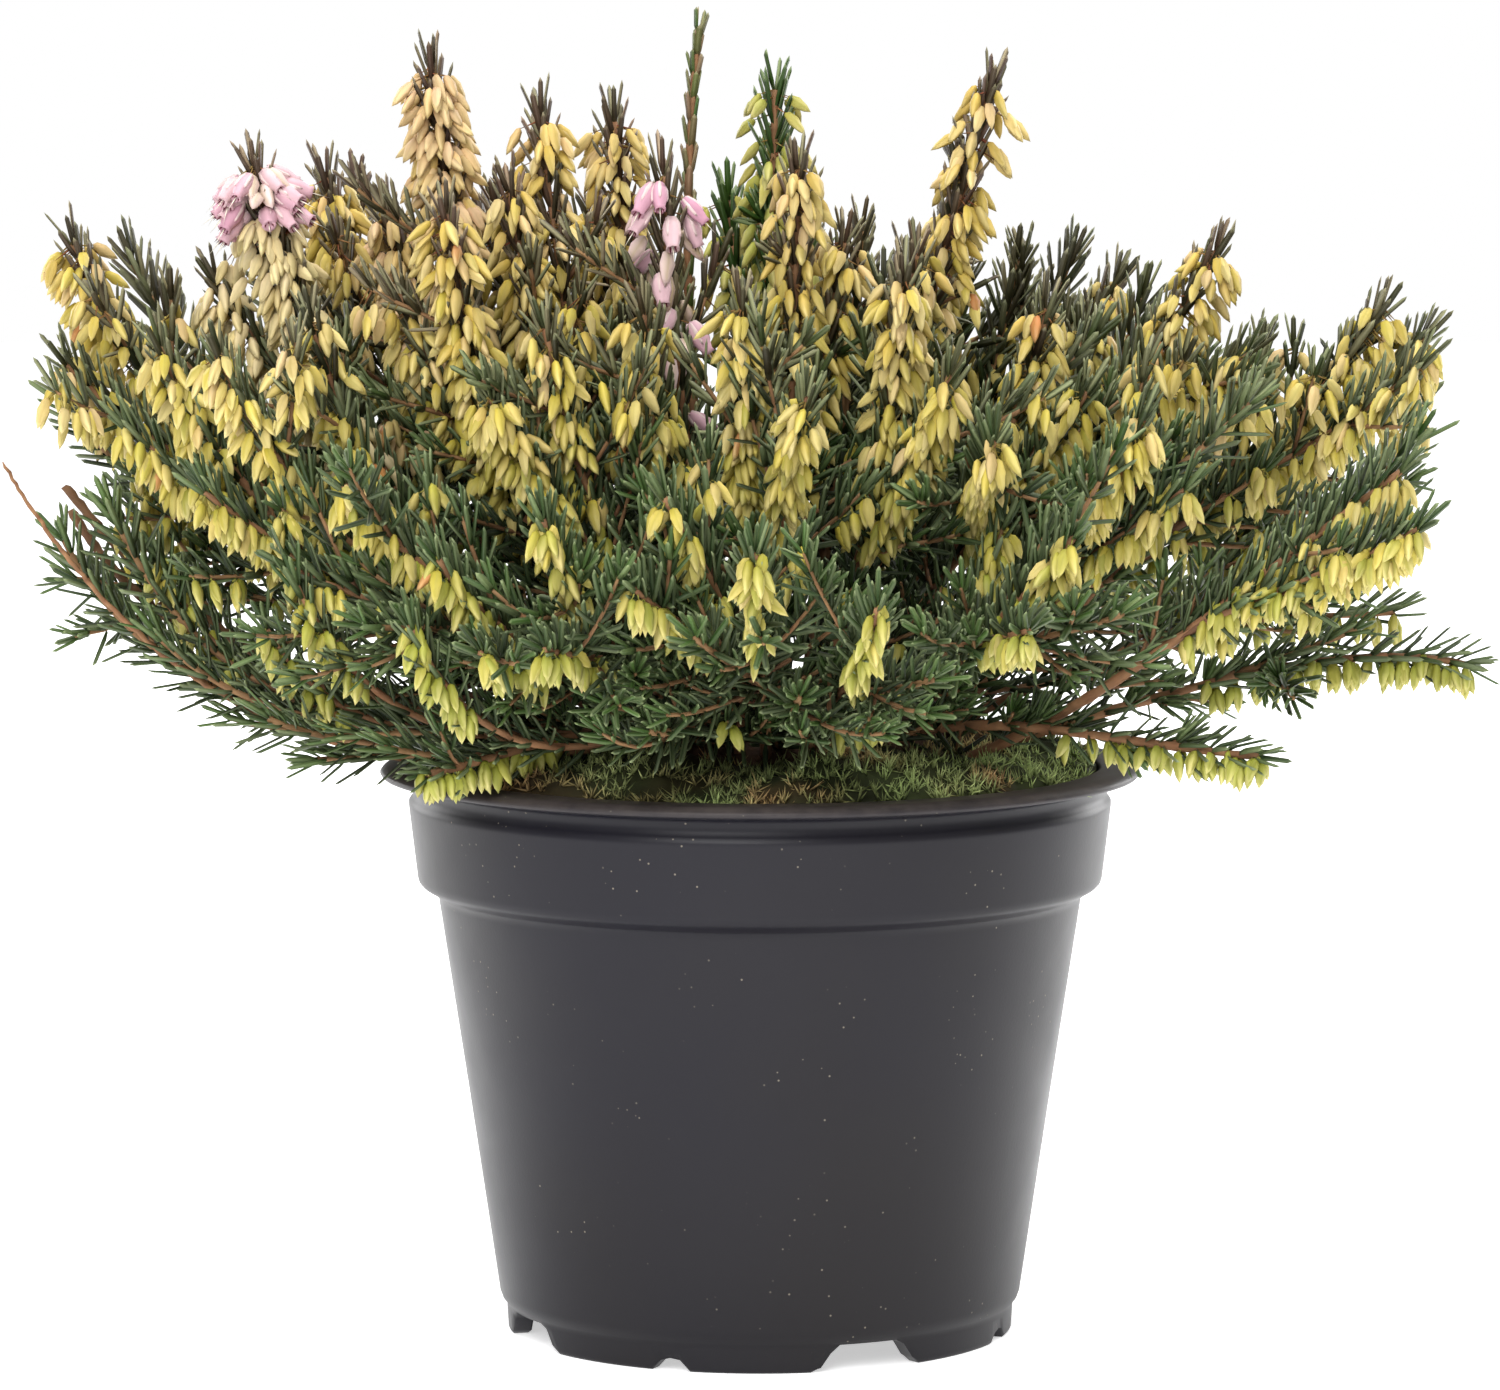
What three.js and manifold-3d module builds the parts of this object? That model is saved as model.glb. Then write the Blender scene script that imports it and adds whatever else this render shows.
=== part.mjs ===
// A potted Darley Dale heath in bud: nursery pot, root ball, moss and leafy budded stems.
// Millimetres, Z up, the pot's axis on Z and the pot's feet standing on Z = 0. The front is -Y.
import * as THREE from "three";
import { mergeVertices } from "three/addons/utils/BufferGeometryUtils.js";
import Module from "manifold-3d";

const wasm = await Module();
wasm.setup();

// Driving dimensions.
const GAP = 0.3; // clearance between pieces that touch on the real thing
const EPS = 0.5; // how far a cutter runs past what it cuts

const FOOT_HEIGHT = 4.6;
const FOOT_OUTER_R = 43.6;
const FOOT_INNER_R = 40.2;
const FLOOR_TOP = 5.8;
const BODY_BOTTOM_R = 44.6;
const BODY_TOP_R = 55.1;
const BODY_TOP_Z = 75.4;
const BAND_BOTTOM_R = 58.5;
const BAND_BOTTOM_Z = 78;
const BAND_TOP_R = 60.2;
const BAND_TOP_Z = 91.5;
const NECK_R = 59.2;
const NECK_Z = 94.8;
const LIP_R = 65;
const LIP_TOP = 97.6;
const WALL = 1.1;
const POT_SEGMENTS = 32;

const WIDE_GAPS = [25, 115, 205, 295]; // degrees round from the front, to the right
const NOTCHES = [-20, 70, 160, 250];
const WIDE_GAP_TOP = 12;
const WIDE_GAP_BOTTOM = 18.5;
const NOTCH_WIDTH = 6.4;
const NOTCH_HEIGHT = 2.2;
const DRAIN_HOLES = 6;
const DRAIN_R = 3.5;
const DRAIN_RING_R = 31;

const SHELF_Z = 91.8; // the soil under the moss
const CROWN_R = 32; // the low crown of soil that the stems stand in
const CROWN_TOP = 103;
const SOIL_SEGMENTS = 16;
const MOSS_SEGMENTS = 24;

const HOLE_DEPTH = 7;
const HOLE_END = 1.4; // how far a hole runs on below its stem
const HOLE_SIDES = 4;
const HOLE_PLAY = 0.92; // how much wider than its stem a hole is at its corners, on the radius
const LOW_RUN = 4; // a stem that stays this close over the crown needs a channel in the moss
const ROOT_SHARE = 0.25; // how far out a stem stands in the crown, as a share of its tip's reach
const ROOT_SPACING = 6.2;
const ROOT_REACH = 25;
const FIRST_RISE = 17; // how far a stem climbs before it spreads
const ROOT_PASSES = 60;
const LEAN_BELOW = 0.4; // how much of its lean or sway a run has lower down
const LIFT_BELOW = 0.3;

const MAIN_BARE = 0.22; // share of a main stem below its first needle
const SIDE_BARE = 0.15;
const CORE_SIDES = 3;
const MAIN_STEPS = 5;
const SIDE_STEPS = 3;
const STEM_ROOT_R = 1.2;
const STEM_LEAFY_R = 1.35;
const STEM_TIP_R = 1;
const FORK_R = 0.7; // where a side shoot leaves its stem
const CUT_STEM_R = 1.4;
const LAST_RING = 0.93; // how far along its run a core's pointed end begins
const CORE_CLEAR = 2; // least distance from the middle of a core to the side of another stem's

const NEEDLE_LENGTH = 9.5;
const NEEDLE_R = 0.62;
const NEEDLE_LEAN = 0.75; // forward for each unit outward
const TIP_LEAN = 1.3;
const PRESSED_LEAN = 3.2;
const TIP_NEEDLES = 2;
const TIP_FROM = 0.895; // place along the run of the last needles, which reach past its end
const TIP_STEP = 0.03;
const NEEDLES_TO = 0.84;
const BUDS_FROM = 0.52;
const BUDS_TO = 0.95;
const BUD_LENGTH = 5.8;
const BUD_R = 1.25;
const STALK_LENGTH = 2.6;
const REPEAT_CLEAR = 0.35; // least gap between a needle or bud and anything of another stem
const FIRST_SIDE = Math.PI / 2; // where round a core the middle of its first side is
const LEANS = [0, 0.35, -0.35]; // how far from the middle of a side a needle or bud may lean

// Where each leafy stem ends: the furthest needle tip, then side shoots as [x, y, z, kind].
// kind: b budded, g green, p in flower, r bare reddish shoot with short leaves pressed to it.
// arch: under 0 runs out low before it rises, over 0 rises first and then leans over.
// lean: how far the upper part is drawn aside before it comes back to the tip.
// leave: the way that it sets off, where the arch doesn't give it.
const FRONT_STEMS = [
  { tip: [-119.5, 8, 191], kind: "b", arch: -0.72, sides: [[-111.6, 27, 187, "g"], [-122, -2, 170, "b"]] },
  { tip: [-102.5, -22, 175], kind: "b", arch: -0.7, sides: [[-111, -12, 160, "b"], [-96, -34, 150, "b"]] },
  {
    tip: [-126, 34, 162],
    kind: "g",
    arch: -0.5,
    sides: [[-124, 14, 129, "g"], [-112, 46, 150, "g"], [-97, 24, 119, "g"]],
  },
  { tip: [-86.8, -6, 204.7], kind: "p", arch: -0.7, sides: [[-96, 8, 184, "b"]] },
  { tip: [-76.7, 30, 202], kind: "b", arch: -0.7, sides: [[-90, 40, 184, "g"]] },
  { tip: [-56.6, 4, 221.6], kind: "b", arch: -1, sides: [[-66, 14, 196, "b"]] },
  { tip: [-53, -30, 197.8], kind: "b", arch: -0.8, sides: [[-62, -24, 184, "b"]] },
  { tip: [-43, -12, 201.5], kind: "b", arch: -0.5, sides: [[-38, 2, 213, "b"]] },
  { tip: [-25.6, 16, 212], kind: "b", arch: -0.5, sides: [[-30, 30, 196, "b"]] },
  { tip: [-9.8, 2, 227.6], kind: "r", arch: 0, lean: [-8, -8, 0], sides: [] },
  { tip: [-16.5, -26, 204], kind: "p", arch: -0.6, sides: [[-20, -46, 182, "b"]] },
  { tip: [2.6, 12, 217.6], kind: "b", arch: -0.4, sides: [[-6, 22, 199, "b"]] },
  { tip: [6.5, -13, 205], kind: "b", arch: -0.5, sides: [[15, -3, 192, "b"]] },
  { tip: [17.8, 22, 193], kind: "g", arch: -0.4, sides: [[8, 34, 190, "g"]] },
  { tip: [41, 6, 218.4], kind: "b", arch: 0.4, sides: [[27, -8, 190, "b"]] },
  { tip: [46, 40, 187], kind: "g", arch: -0.4, sides: [[57, 50, 187, "g"], [65, 36, 183, "b"]] },
  { tip: [80, -4, 190], kind: "b", arch: 0.1, sides: [[70, 8, 176, "g"], [86, -14, 172, "b"]] },
  { tip: [90, 38, 171], kind: "b", arch: -0.2, sides: [[80, 50, 168, "g"]] },
  { tip: [108.4, -4, 180], kind: "b", arch: -0.2, sides: [[117, 2, 174, "b"], [114.6, -18, 170, "b"]] },
  {
    tip: [108, -60, 155],
    kind: "b",
    arch: 0.2,
    leave: [0.72, -0.66, 0.2],
    sides: [[112, -40, 160, "g"], [110, -68, 146, "b"]],
  },
  {
    tip: [125.5, -8, 113.5],
    kind: "b",
    arch: 0.9,
    lean: [12, -2, 12],
    leave: [0.97, -0.05, 0.22],
    sides: [[106, -10, 124, "g"], [90, -34, 111, "g"]],
  },
  { tip: [86, -58, 105], kind: "b", arch: 1, sides: [] },
  { tip: [-58, -62, 102], kind: "b", arch: 2, sides: [[-74, -44, 107, "g"]] },
  { tip: [-19, -78, 112], kind: "g", arch: 0.2, sides: [[-28, -70, 116, "g"]] },
  { tip: [6.3, -84, 119], kind: "g", arch: 0.1, sides: [[20, -78, 112, "g"]] },
  { tip: [19, -100, 137], kind: "b", arch: -0.4, sides: [[30, -88, 122, "g"]] },
  { tip: [51.6, -84, 147], kind: "b", arch: -0.2, sides: [[62, -76, 132, "g"], [44, -92, 130, "b"]] },
  { tip: [64, -58, 165], kind: "b", arch: -0.3, sides: [[73, -52, 152, "b"], [84, -44, 166, "g"]] },
  { tip: [-1, -102, 146], kind: "b", arch: -0.4, sides: [[-12, -94, 130, "g"]] },
  { tip: [-18, -84, 154], kind: "b", arch: -0.4, sides: [[-22, -92, 138, "b"]] },
  { tip: [-36, -80, 150], kind: "b", arch: -0.4, sides: [[-36, -92, 127, "b"]] },
  { tip: [-54, -74, 143], kind: "b", arch: -0.4, sides: [[-47, -84, 126, "b"]] },
  {
    tip: [-71, -58, 154],
    kind: "b",
    arch: -0.4,
    sides: [[-82, -50, 138, "b"], [-68, -68, 128, "g"], [-86, -34, 119, "g"]],
  },
  { tip: [-91, -44, 175], kind: "b", arch: -0.6, sides: [[-76, -36, 180, "b"]] },
  { tip: [-36, -50, 180], kind: "b", arch: -0.5, sides: [[-46, -58, 168, "b"]] },
  { tip: [-3, -58, 184], kind: "b", arch: -0.5, sides: [[8, -74, 169, "b"]] },
  { tip: [24, -44, 188], kind: "b", arch: -0.5, sides: [[32, -60, 172, "b"]] },
  { tip: [49, -28, 182], kind: "b", arch: -0.4, sides: [[56, -42, 168, "b"], [38, -72, 160, "b"]] },
];

// The back of the bush, which the photograph doesn't show, follows the same dome by rule.
const BACK_STEMS = 16;
const BACK_REACH_X = 118;
const BACK_REACH_Y = 101;
const BACK_ARCH = -0.5;

const LOW_AND_LEFT = [-0.99, 0, 0.14]; // the way that a low stem sets off
const TWIG = { tip: [-128, -12, 150], arch: -1.4, lean: [13.5, 0, -9], leave: LOW_AND_LEFT };
const CUT_STEMS = [
  { tip: [-119, 2, 145], arch: -0.6, leave: LOW_AND_LEFT },
  { tip: [-119, 14, 140], arch: -1.1, leave: LOW_AND_LEFT },
];

// Solids and meshes.
// A three.js geometry as a closed solid that can be joined and cut.
function solidOf(geometry) {
  const bare = geometry.clone();
  bare.deleteAttribute("normal");
  bare.deleteAttribute("uv");
  const merged = mergeVertices(bare, 1e-4);
  const vertProperties = merged.attributes.position.array;
  const triVerts = new Uint32Array(merged.index.array);
  return new wasm.Manifold(new wasm.Mesh({ numProp: 3, vertProperties, triVerts }));
}

function geometryOf(solid) {
  const made = solid.getMesh();
  const geometry = new THREE.BufferGeometry();
  geometry.setAttribute("position", new THREE.BufferAttribute(made.vertProperties, 3));
  geometry.setIndex(new THREE.BufferAttribute(made.triVerts, 1));
  geometry.computeVertexNormals();
  return geometry;
}

// Joins solids two by two, which keeps each join small.
function joinAll(solids) {
  let row = solids;
  while (row.length > 1) {
    const next = [];
    for (let i = 0; i < row.length; i += 2) {
      next.push(i + 1 < row.length ? row[i].add(row[i + 1]) : row[i]);
    }
    row = next;
  }
  return row[0];
}

// The largest body of a solid, without loose scraps.
function mainBody(solid) {
  const bodies = solid.decompose();
  return bodies.reduce((best, body) => (body.volume() > best.volume() ? body : best));
}

function meshOf(name, solid, look) {
  const material = new THREE.MeshStandardMaterial(look);
  const mesh = new THREE.Mesh(geometryOf(solid), material);
  mesh.name = name;
  return mesh;
}

// A repeatable number from 0 to 1 for a whole number.
function chance(n) {
  let a = (Math.imul(n, 0x9e3779b1) + 0x6d2b79f5) >>> 0;
  a = Math.imul(a ^ (a >>> 15), a | 1) >>> 0;
  a = (a ^ (a + Math.imul(a ^ (a >>> 7), a | 61))) >>> 0;
  return ((a ^ (a >>> 14)) >>> 0) / 4294967296;
}

// Pot.
function turned(profile, segments) {
  const geometry = new THREE.LatheGeometry(
    profile.map(([r, z]) => new THREE.Vector2(r, z)),
    segments,
  );
  return geometry.rotateX(Math.PI / 2);
}

// A cutter that runs out through the foot ring, at degrees round from the front to the right.
function footCutter(shape, degrees) {
  const reach = FOOT_OUTER_R - FOOT_INNER_R + 8;
  const cutter = new THREE.ExtrudeGeometry(shape, { depth: reach, bevelEnabled: false, steps: 1 });
  cutter.rotateX(Math.PI / 2);
  cutter.translate(0, -(FOOT_INNER_R - 4), 0);
  cutter.rotateZ((degrees * Math.PI) / 180);
  return solidOf(cutter);
}

function wideGapShape() {
  const top = FOOT_HEIGHT - 0.02;
  return new THREE.Shape([
    new THREE.Vector2(-WIDE_GAP_BOTTOM / 2, -EPS),
    new THREE.Vector2(WIDE_GAP_BOTTOM / 2, -EPS),
    new THREE.Vector2(WIDE_GAP_TOP / 2, top),
    new THREE.Vector2(-WIDE_GAP_TOP / 2, top),
  ]);
}

function notchShape() {
  const half = NOTCH_WIDTH / 2;
  return new THREE.Shape([
    new THREE.Vector2(-half, -EPS),
    new THREE.Vector2(half, -EPS),
    new THREE.Vector2(half * 0.6, NOTCH_HEIGHT * 0.8),
    new THREE.Vector2(0, NOTCH_HEIGHT),
    new THREE.Vector2(-half * 0.6, NOTCH_HEIGHT * 0.8),
  ]);
}

function makePot() {
  const profile = [
    [0, FOOT_HEIGHT],
    [FOOT_INNER_R, FOOT_HEIGHT],
    [FOOT_INNER_R, 0],
    [FOOT_OUTER_R - 0.3, 0],
    [FOOT_OUTER_R, FOOT_HEIGHT],
    [BODY_BOTTOM_R, FOOT_HEIGHT + 1.6],
    [BODY_TOP_R, BODY_TOP_Z],
    [BAND_BOTTOM_R, BAND_BOTTOM_Z],
    [BAND_TOP_R, BAND_TOP_Z],
    [NECK_R, BAND_TOP_Z + 1.5],
    [NECK_R, NECK_Z],
    [LIP_R - 0.6, NECK_Z + 1.1],
    [LIP_R, NECK_Z + 1.9],
    [LIP_R - 0.6, LIP_TOP],
    [NECK_R - WALL, LIP_TOP],
    [NECK_R - WALL, BAND_TOP_Z + 0.6],
    [BAND_BOTTOM_R - WALL, BAND_BOTTOM_Z + 0.8],
    [BODY_TOP_R - WALL, BODY_TOP_Z + 0.6],
    [BODY_BOTTOM_R - WALL, FLOOR_TOP + 1.2],
    [BODY_BOTTOM_R - WALL - 1.2, FLOOR_TOP],
    [0, FLOOR_TOP],
  ];
  let pot = solidOf(turned(profile, POT_SEGMENTS));
  for (const degrees of WIDE_GAPS) {
    pot = pot.subtract(footCutter(wideGapShape(), degrees));
  }
  for (const degrees of NOTCHES) {
    pot = pot.subtract(footCutter(notchShape(), degrees));
  }
  for (let i = 0; i < DRAIN_HOLES; i++) {
    const drain = new THREE.CylinderGeometry(DRAIN_R, DRAIN_R, 6, 8).rotateX(Math.PI / 2);
    const turn = ((i + 0.5) / DRAIN_HOLES) * 2 * Math.PI;
    drain.translate(DRAIN_RING_R * Math.cos(turn), DRAIN_RING_R * Math.sin(turn), FLOOR_TOP);
    pot = pot.subtract(solidOf(drain));
  }
  return pot;
}

// Soil and moss.
function makeSoil(holes) {
  const profile = [
    [0, FLOOR_TOP + GAP],
    [BODY_BOTTOM_R - WALL - 1.9, FLOOR_TOP + GAP],
    [BODY_BOTTOM_R - WALL - 0.6, FLOOR_TOP + 1.9],
    [BODY_TOP_R - WALL - 0.6, BODY_TOP_Z + 0.6],
    [BAND_BOTTOM_R - WALL - 1.3, BAND_BOTTOM_Z + 1.6],
    [BAND_TOP_R - WALL - 2.3, SHELF_Z - 1.6],
    [BAND_TOP_R - WALL - 3.2, SHELF_Z],
    [CROWN_R + 0.9, SHELF_Z + 0.4],
    [CROWN_R, CROWN_TOP - 1],
    [CROWN_R - 1.2, CROWN_TOP],
    [0, CROWN_TOP],
  ];
  const soil = solidOf(turned(profile, SOIL_SEGMENTS));
  return soil.subtract(joinAll(holes));
}

// How high the moss stands at a distance r from the axis and an angle round it.
function mossTop(r, turn) {
  const across = (r - CROWN_R) / (NECK_R - WALL - CROWN_R);
  const fall = CROWN_TOP - 0.8 - 5 * across * across;
  const lumps = 1.1 * Math.sin(5 * turn + 0.6) + 0.9 * Math.sin(9 * turn + 2.1 + r * 0.11);
  return fall + lumps * (1 - 0.4 * across);
}

function makeMoss(holes) {
  const inner = CROWN_R + 1.3;
  const outer = NECK_R - WALL - 0.5;
  const bottom = SHELF_Z + 0.8;
  const profile = [
    [inner, bottom],
    [outer - 0.6, bottom - 0.4],
    [outer, bottom + 2.4],
    [outer - 1.4, 0],
    [outer - 9, 0],
    [inner + 5, 0],
    [inner, CROWN_TOP - 2],
    [inner, bottom],
  ];
  const geometry = turned(profile, MOSS_SEGMENTS);
  const spots = geometry.attributes.position;
  for (let i = 0; i < spots.count; i++) {
    if (Math.abs(spots.getZ(i)) < 1e-6) {
      const r = Math.hypot(spots.getX(i), spots.getY(i));
      const turn = Math.atan2(spots.getY(i), spots.getX(i));
      spots.setZ(i, mossTop(r, turn < -Math.PI + 1e-6 ? turn + 2 * Math.PI : turn));
    }
  }
  return mainBody(solidOf(geometry).subtract(joinAll(holes)));
}

// The run of a stem.
const up = new THREE.Vector3(0, 0, 1);

// A cubic curve from a start to an end. It sets off along `leave`, or by the arch and lean alone.
function runOf(start, end, { arch = 0, lean = [0, 0, 0] }, leave) {
  const far = end.clone().sub(start);
  const spread1 = 0.15 - 0.1 * arch;
  const spread2 = 0.72 - 0.08 * arch;
  const first = new THREE.Vector3(
    start.x + far.x * spread1,
    start.y + far.y * spread1,
    start.z + FIRST_RISE + far.z * (0.1 + 0.12 * arch),
  );
  if (leave) {
    first.copy(leave).multiplyScalar(far.length() * 0.35).add(start);
  }
  const second = new THREE.Vector3(
    start.x + far.x * spread2,
    start.y + far.y * spread2,
    start.z + far.z * (0.6 + 0.3 * arch),
  );
  const drawn = new THREE.Vector3(...lean);
  first.addScaledVector(drawn, LEAN_BELOW);
  second.add(drawn);
  return new THREE.CubicBezierCurve3(start, first, second, end);
}

// Where a core's rings sit on its curve: in equal steps, and then a short pointed end.
function ringPlace(i, steps) {
  return i === steps ? 1 : (LAST_RING * i) / (steps - 1);
}

function ringsOf(curve, steps) {
  return Array.from({ length: steps + 1 }, (_, i) => curve.getPoint(ringPlace(i, steps)));
}

// Points every millimetre and a half or so along straight lines between the rings.
function beadsOf(rings) {
  const beads = [];
  for (let i = 0; i + 1 < rings.length; i++) {
    const count = Math.ceil(rings[i].distanceTo(rings[i + 1]) / 1.5);
    for (let k = 0; k < count; k++) {
      beads.push(rings[i].clone().lerp(rings[i + 1], k / count));
    }
  }
  beads.push(rings[rings.length - 1]);
  return beads;
}

// A ledger of round beads, each owned by one stem, in cubes of space for a quick search.
const CELL = 8;
const ledger = new Map();

function cellKey(x, y, z) {
  return `${Math.floor(x / CELL)},${Math.floor(y / CELL)},${Math.floor(z / CELL)}`;
}

function enter(point, radius, owner, core) {
  const key = cellKey(point.x, point.y, point.z);
  if (!ledger.has(key)) {
    ledger.set(key, []);
  }
  ledger.get(key).push({ point, radius, owner, core });
}

// True if a bead at the point keeps its gap from every bead that it doesn't grow from.
function isClear(point, radius, gap, growsFrom) {
  for (let i = -1; i <= 1; i++) {
    for (let j = -1; j <= 1; j++) {
      for (let k = -1; k <= 1; k++) {
        const near = ledger.get(cellKey(point.x + i * CELL, point.y + j * CELL, point.z + k * CELL));
        if (near && near.some((bead) => !growsFrom(bead)
          && bead.point.distanceTo(point) < bead.radius + radius + gap)) {
          return false;
        }
      }
    }
  }
  return true;
}

// The lowest that anything may hang at a point: over the moss, the pot's lip, or the ground.
function lowest(point) {
  const r = Math.hypot(point.x, point.y);
  if (r < CROWN_R + 1) {
    return CROWN_TOP + 0.4;
  }
  if (r < NECK_R) {
    return mossTop(r, Math.atan2(point.y, point.x)) + 0.4;
  }
  return r < LIP_R + 2 ? LIP_TOP + 0.4 : 0;
}

// Bends a run aside, by the first of a row of small sways and lifts that clears the others.
function bentClear(start, end, shape, leave, steps, owner) {
  const across = new THREE.Vector3(start.y - end.y, end.x - start.x, 0).normalize();
  const sways = [0, 3, -3, 6, -6, 9, -9, 12, -12, 15, -15];
  const lifts = [0, 4, -4, 8, -8];
  for (const lift of lifts) {
    for (const sway of sways) {
      const run = runOf(start, end, shape, leave);
      run.v2.addScaledVector(across, sway).addScaledVector(up, lift);
      run.v1.addScaledVector(across, sway * LEAN_BELOW).addScaledVector(up, lift * LIFT_BELOW);
      const beads = beadsOf(ringsOf(run, steps));
      const free = beads.every((bead) => isClear(bead, 0, CORE_CLEAR, (other) => other.owner === owner)
        && (Math.hypot(bead.x, bead.y) < NECK_R - 2 || bead.z > lowest(bead) + STEM_ROOT_R));
      if (free) {
        return run;
      }
    }
  }
  return null;
}

// Cores and repeats.
// Unit vectors across a run at a place on it: one level, one in the run's own upright plane.
function across(tangent, aside) {
  const level = aside.clone().addScaledVector(tangent, -aside.dot(tangent)).normalize();
  return { level, other: level.clone().cross(tangent).negate() };
}

// A level direction across the whole run.
function asideOf(run) {
  const far = run.v3.clone().sub(run.v0);
  return new THREE.Vector3(-far.y, far.x, 0).normalize();
}

function radiusAt(t, root, leafy, tip) {
  return t < 0.5 ? root + (leafy - root) * t * 2 : leafy + (tip - leafy) * (t - 0.5) * 2;
}

// A slim core of few sides along the rings. A blunt one ends flat, the others in a point.
function coreOf(run, steps, radii, blunt) {
  const { level, other } = across(run.v3.clone().sub(run.v0).normalize(), asideOf(run));
  const top = blunt ? 1 : 0;
  const core = new THREE.CylinderGeometry(top, 1, 1, CORE_SIDES + (blunt ? 2 : 0), steps);
  const spots = core.attributes.position;
  for (let i = 0; i < spots.count; i++) {
    const t = ringPlace(Math.round((spots.getY(i) + 0.5) * steps), steps);
    const place = run.getPoint(t);
    const width = Math.hypot(spots.getX(i), spots.getZ(i));
    const radius = width < 1e-6 ? 0 : radiusAt(t, ...radii) / width;
    place.addScaledVector(level, spots.getX(i) * radius);
    place.addScaledVector(other, -spots.getZ(i) * radius);
    spots.setXYZ(i, place.x, place.y, place.z);
  }
  return solidOf(core);
}

// Stands a shape built up its own Y axis at a place, pointing along a direction.
function stood(geometry, place, direction, turn) {
  const y = direction.clone().normalize();
  const helper = Math.abs(y.z) < 0.9 ? up : new THREE.Vector3(1, 0, 0);
  const x = helper.clone().cross(y).normalize();
  const z = x.clone().cross(y);
  const matrix = new THREE.Matrix4().makeBasis(x, y, z);
  geometry.rotateY(turn);
  geometry.applyMatrix4(matrix.setPosition(place));
  return solidOf(geometry);
}

function needleShape() {
  return new THREE.ConeGeometry(NEEDLE_R, NEEDLE_LENGTH, 3).translate(0, NEEDLE_LENGTH / 2, 0);
}

// A bud on its short stalk, in one: widest a little below its middle, with a pointed end.
function budShape() {
  const whole = STALK_LENGTH + BUD_LENGTH;
  return new THREE.LatheGeometry(
    [
      new THREE.Vector2(0, 0),
      new THREE.Vector2(BUD_R, STALK_LENGTH + BUD_LENGTH * 0.45),
      new THREE.Vector2(0, whole),
    ],
    3,
  );
}

// An open flower on its stalk, with a flat mouth.
function flowerShape() {
  const whole = STALK_LENGTH + BUD_LENGTH;
  return new THREE.LatheGeometry(
    [
      new THREE.Vector2(0, 0),
      new THREE.Vector2(BUD_R * 1.25, STALK_LENGTH + BUD_LENGTH * 0.4),
      new THREE.Vector2(BUD_R * 0.85, whole),
      new THREE.Vector2(0, whole),
    ],
    4,
  );
}

// Beads along a needle or bud, with the radius it has at each.
function repeatBeads(place, direction, length, radius, shape) {
  const beads = [];
  const count = Math.ceil(length / 1.2);
  for (let i = 1; i <= count; i++) {
    const share = i / count;
    const swell = shape === "needle" ? 1 - share : Math.min(share / 0.55, (1.05 - share) / 0.45, 1);
    const point = place.clone().addScaledVector(direction, share * length);
    beads.push({ point, radius: radius * Math.max(swell, 0.1) });
  }
  return beads;
}

// Tries a needle or bud at turns round the run, and keeps the first that is clear of the rest.
function placeRepeat(spot, what, shoot, turn, joined) {
  const { place, tangent, level, other } = spot;
  for (let k = 0; k < CORE_SIDES * 3; k++) {
    const side = (turn + k) % CORE_SIDES;
    const lean = LEANS[(turn + Math.floor(k / CORE_SIDES)) % LEANS.length];
    const angle = FIRST_SIDE + (side * 2 * Math.PI) / CORE_SIDES + lean;
    const outward = level.clone().multiplyScalar(Math.cos(angle)).addScaledVector(other, Math.sin(angle));
    let direction;
    let length;
    let radius;
    if (what === "needle") {
      direction = outward.clone().addScaledVector(tangent, spot.forward);
      length = NEEDLE_LENGTH;
      radius = NEEDLE_R;
    } else {
      direction = outward.clone().multiplyScalar(0.8).addScaledVector(up, -1);
      length = STALK_LENGTH + BUD_LENGTH;
      radius = what === "flower" ? BUD_R * 1.25 : BUD_R;
    }
    direction.normalize();
    const aside = direction.clone().addScaledVector(tangent, -direction.dot(tangent));
    if (aside.length() < 0.5 || aside.dot(outward) < 0.3) {
      continue;
    }
    const beads = repeatBeads(place, direction, length, radius, what);
    const free = beads.every((bead) => bead.point.z > lowest(bead.point) + bead.radius
      && isClear(bead.point, bead.radius, REPEAT_CLEAR, (other) => other.core === shoot));
    if (free) {
      beads.forEach((bead) => enter(bead.point, bead.radius, shoot.owner, null));
      const shapes = { needle: needleShape, bud: budShape, flower: flowerShape };
      joined.push(stood(shapes[what](), place, direction, chance(joined.length * 7 + 3) * 2));
      return true;
    }
  }
  return false;
}

// A place on the straight stretches between a core's rings, with the way it runs there.
function onCore(shoot, t) {
  const { rings, steps } = shoot;
  const i = Math.min(Math.floor((t * (steps - 1)) / LAST_RING), steps - 1);
  const begin = ringPlace(i, steps);
  const share = (t - begin) / (ringPlace(i + 1, steps) - begin);
  const place = rings[i].clone().lerp(rings[i + 1], share);
  return { place, tangent: rings[i + 1].clone().sub(rings[i]).normalize() };
}

// How many needles and buds a shoot carries, by what it bears and whether it is a main stem.
function countsFor(kind, main) {
  return {
    b: { needles: main ? 4 : 3, buds: main ? 3 : 2 },
    g: { needles: main ? 4 : 3, buds: 0 },
    p: { needles: 4, buds: 4 },
    r: { needles: 6, buds: 0 },
  }[kind];
}

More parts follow.
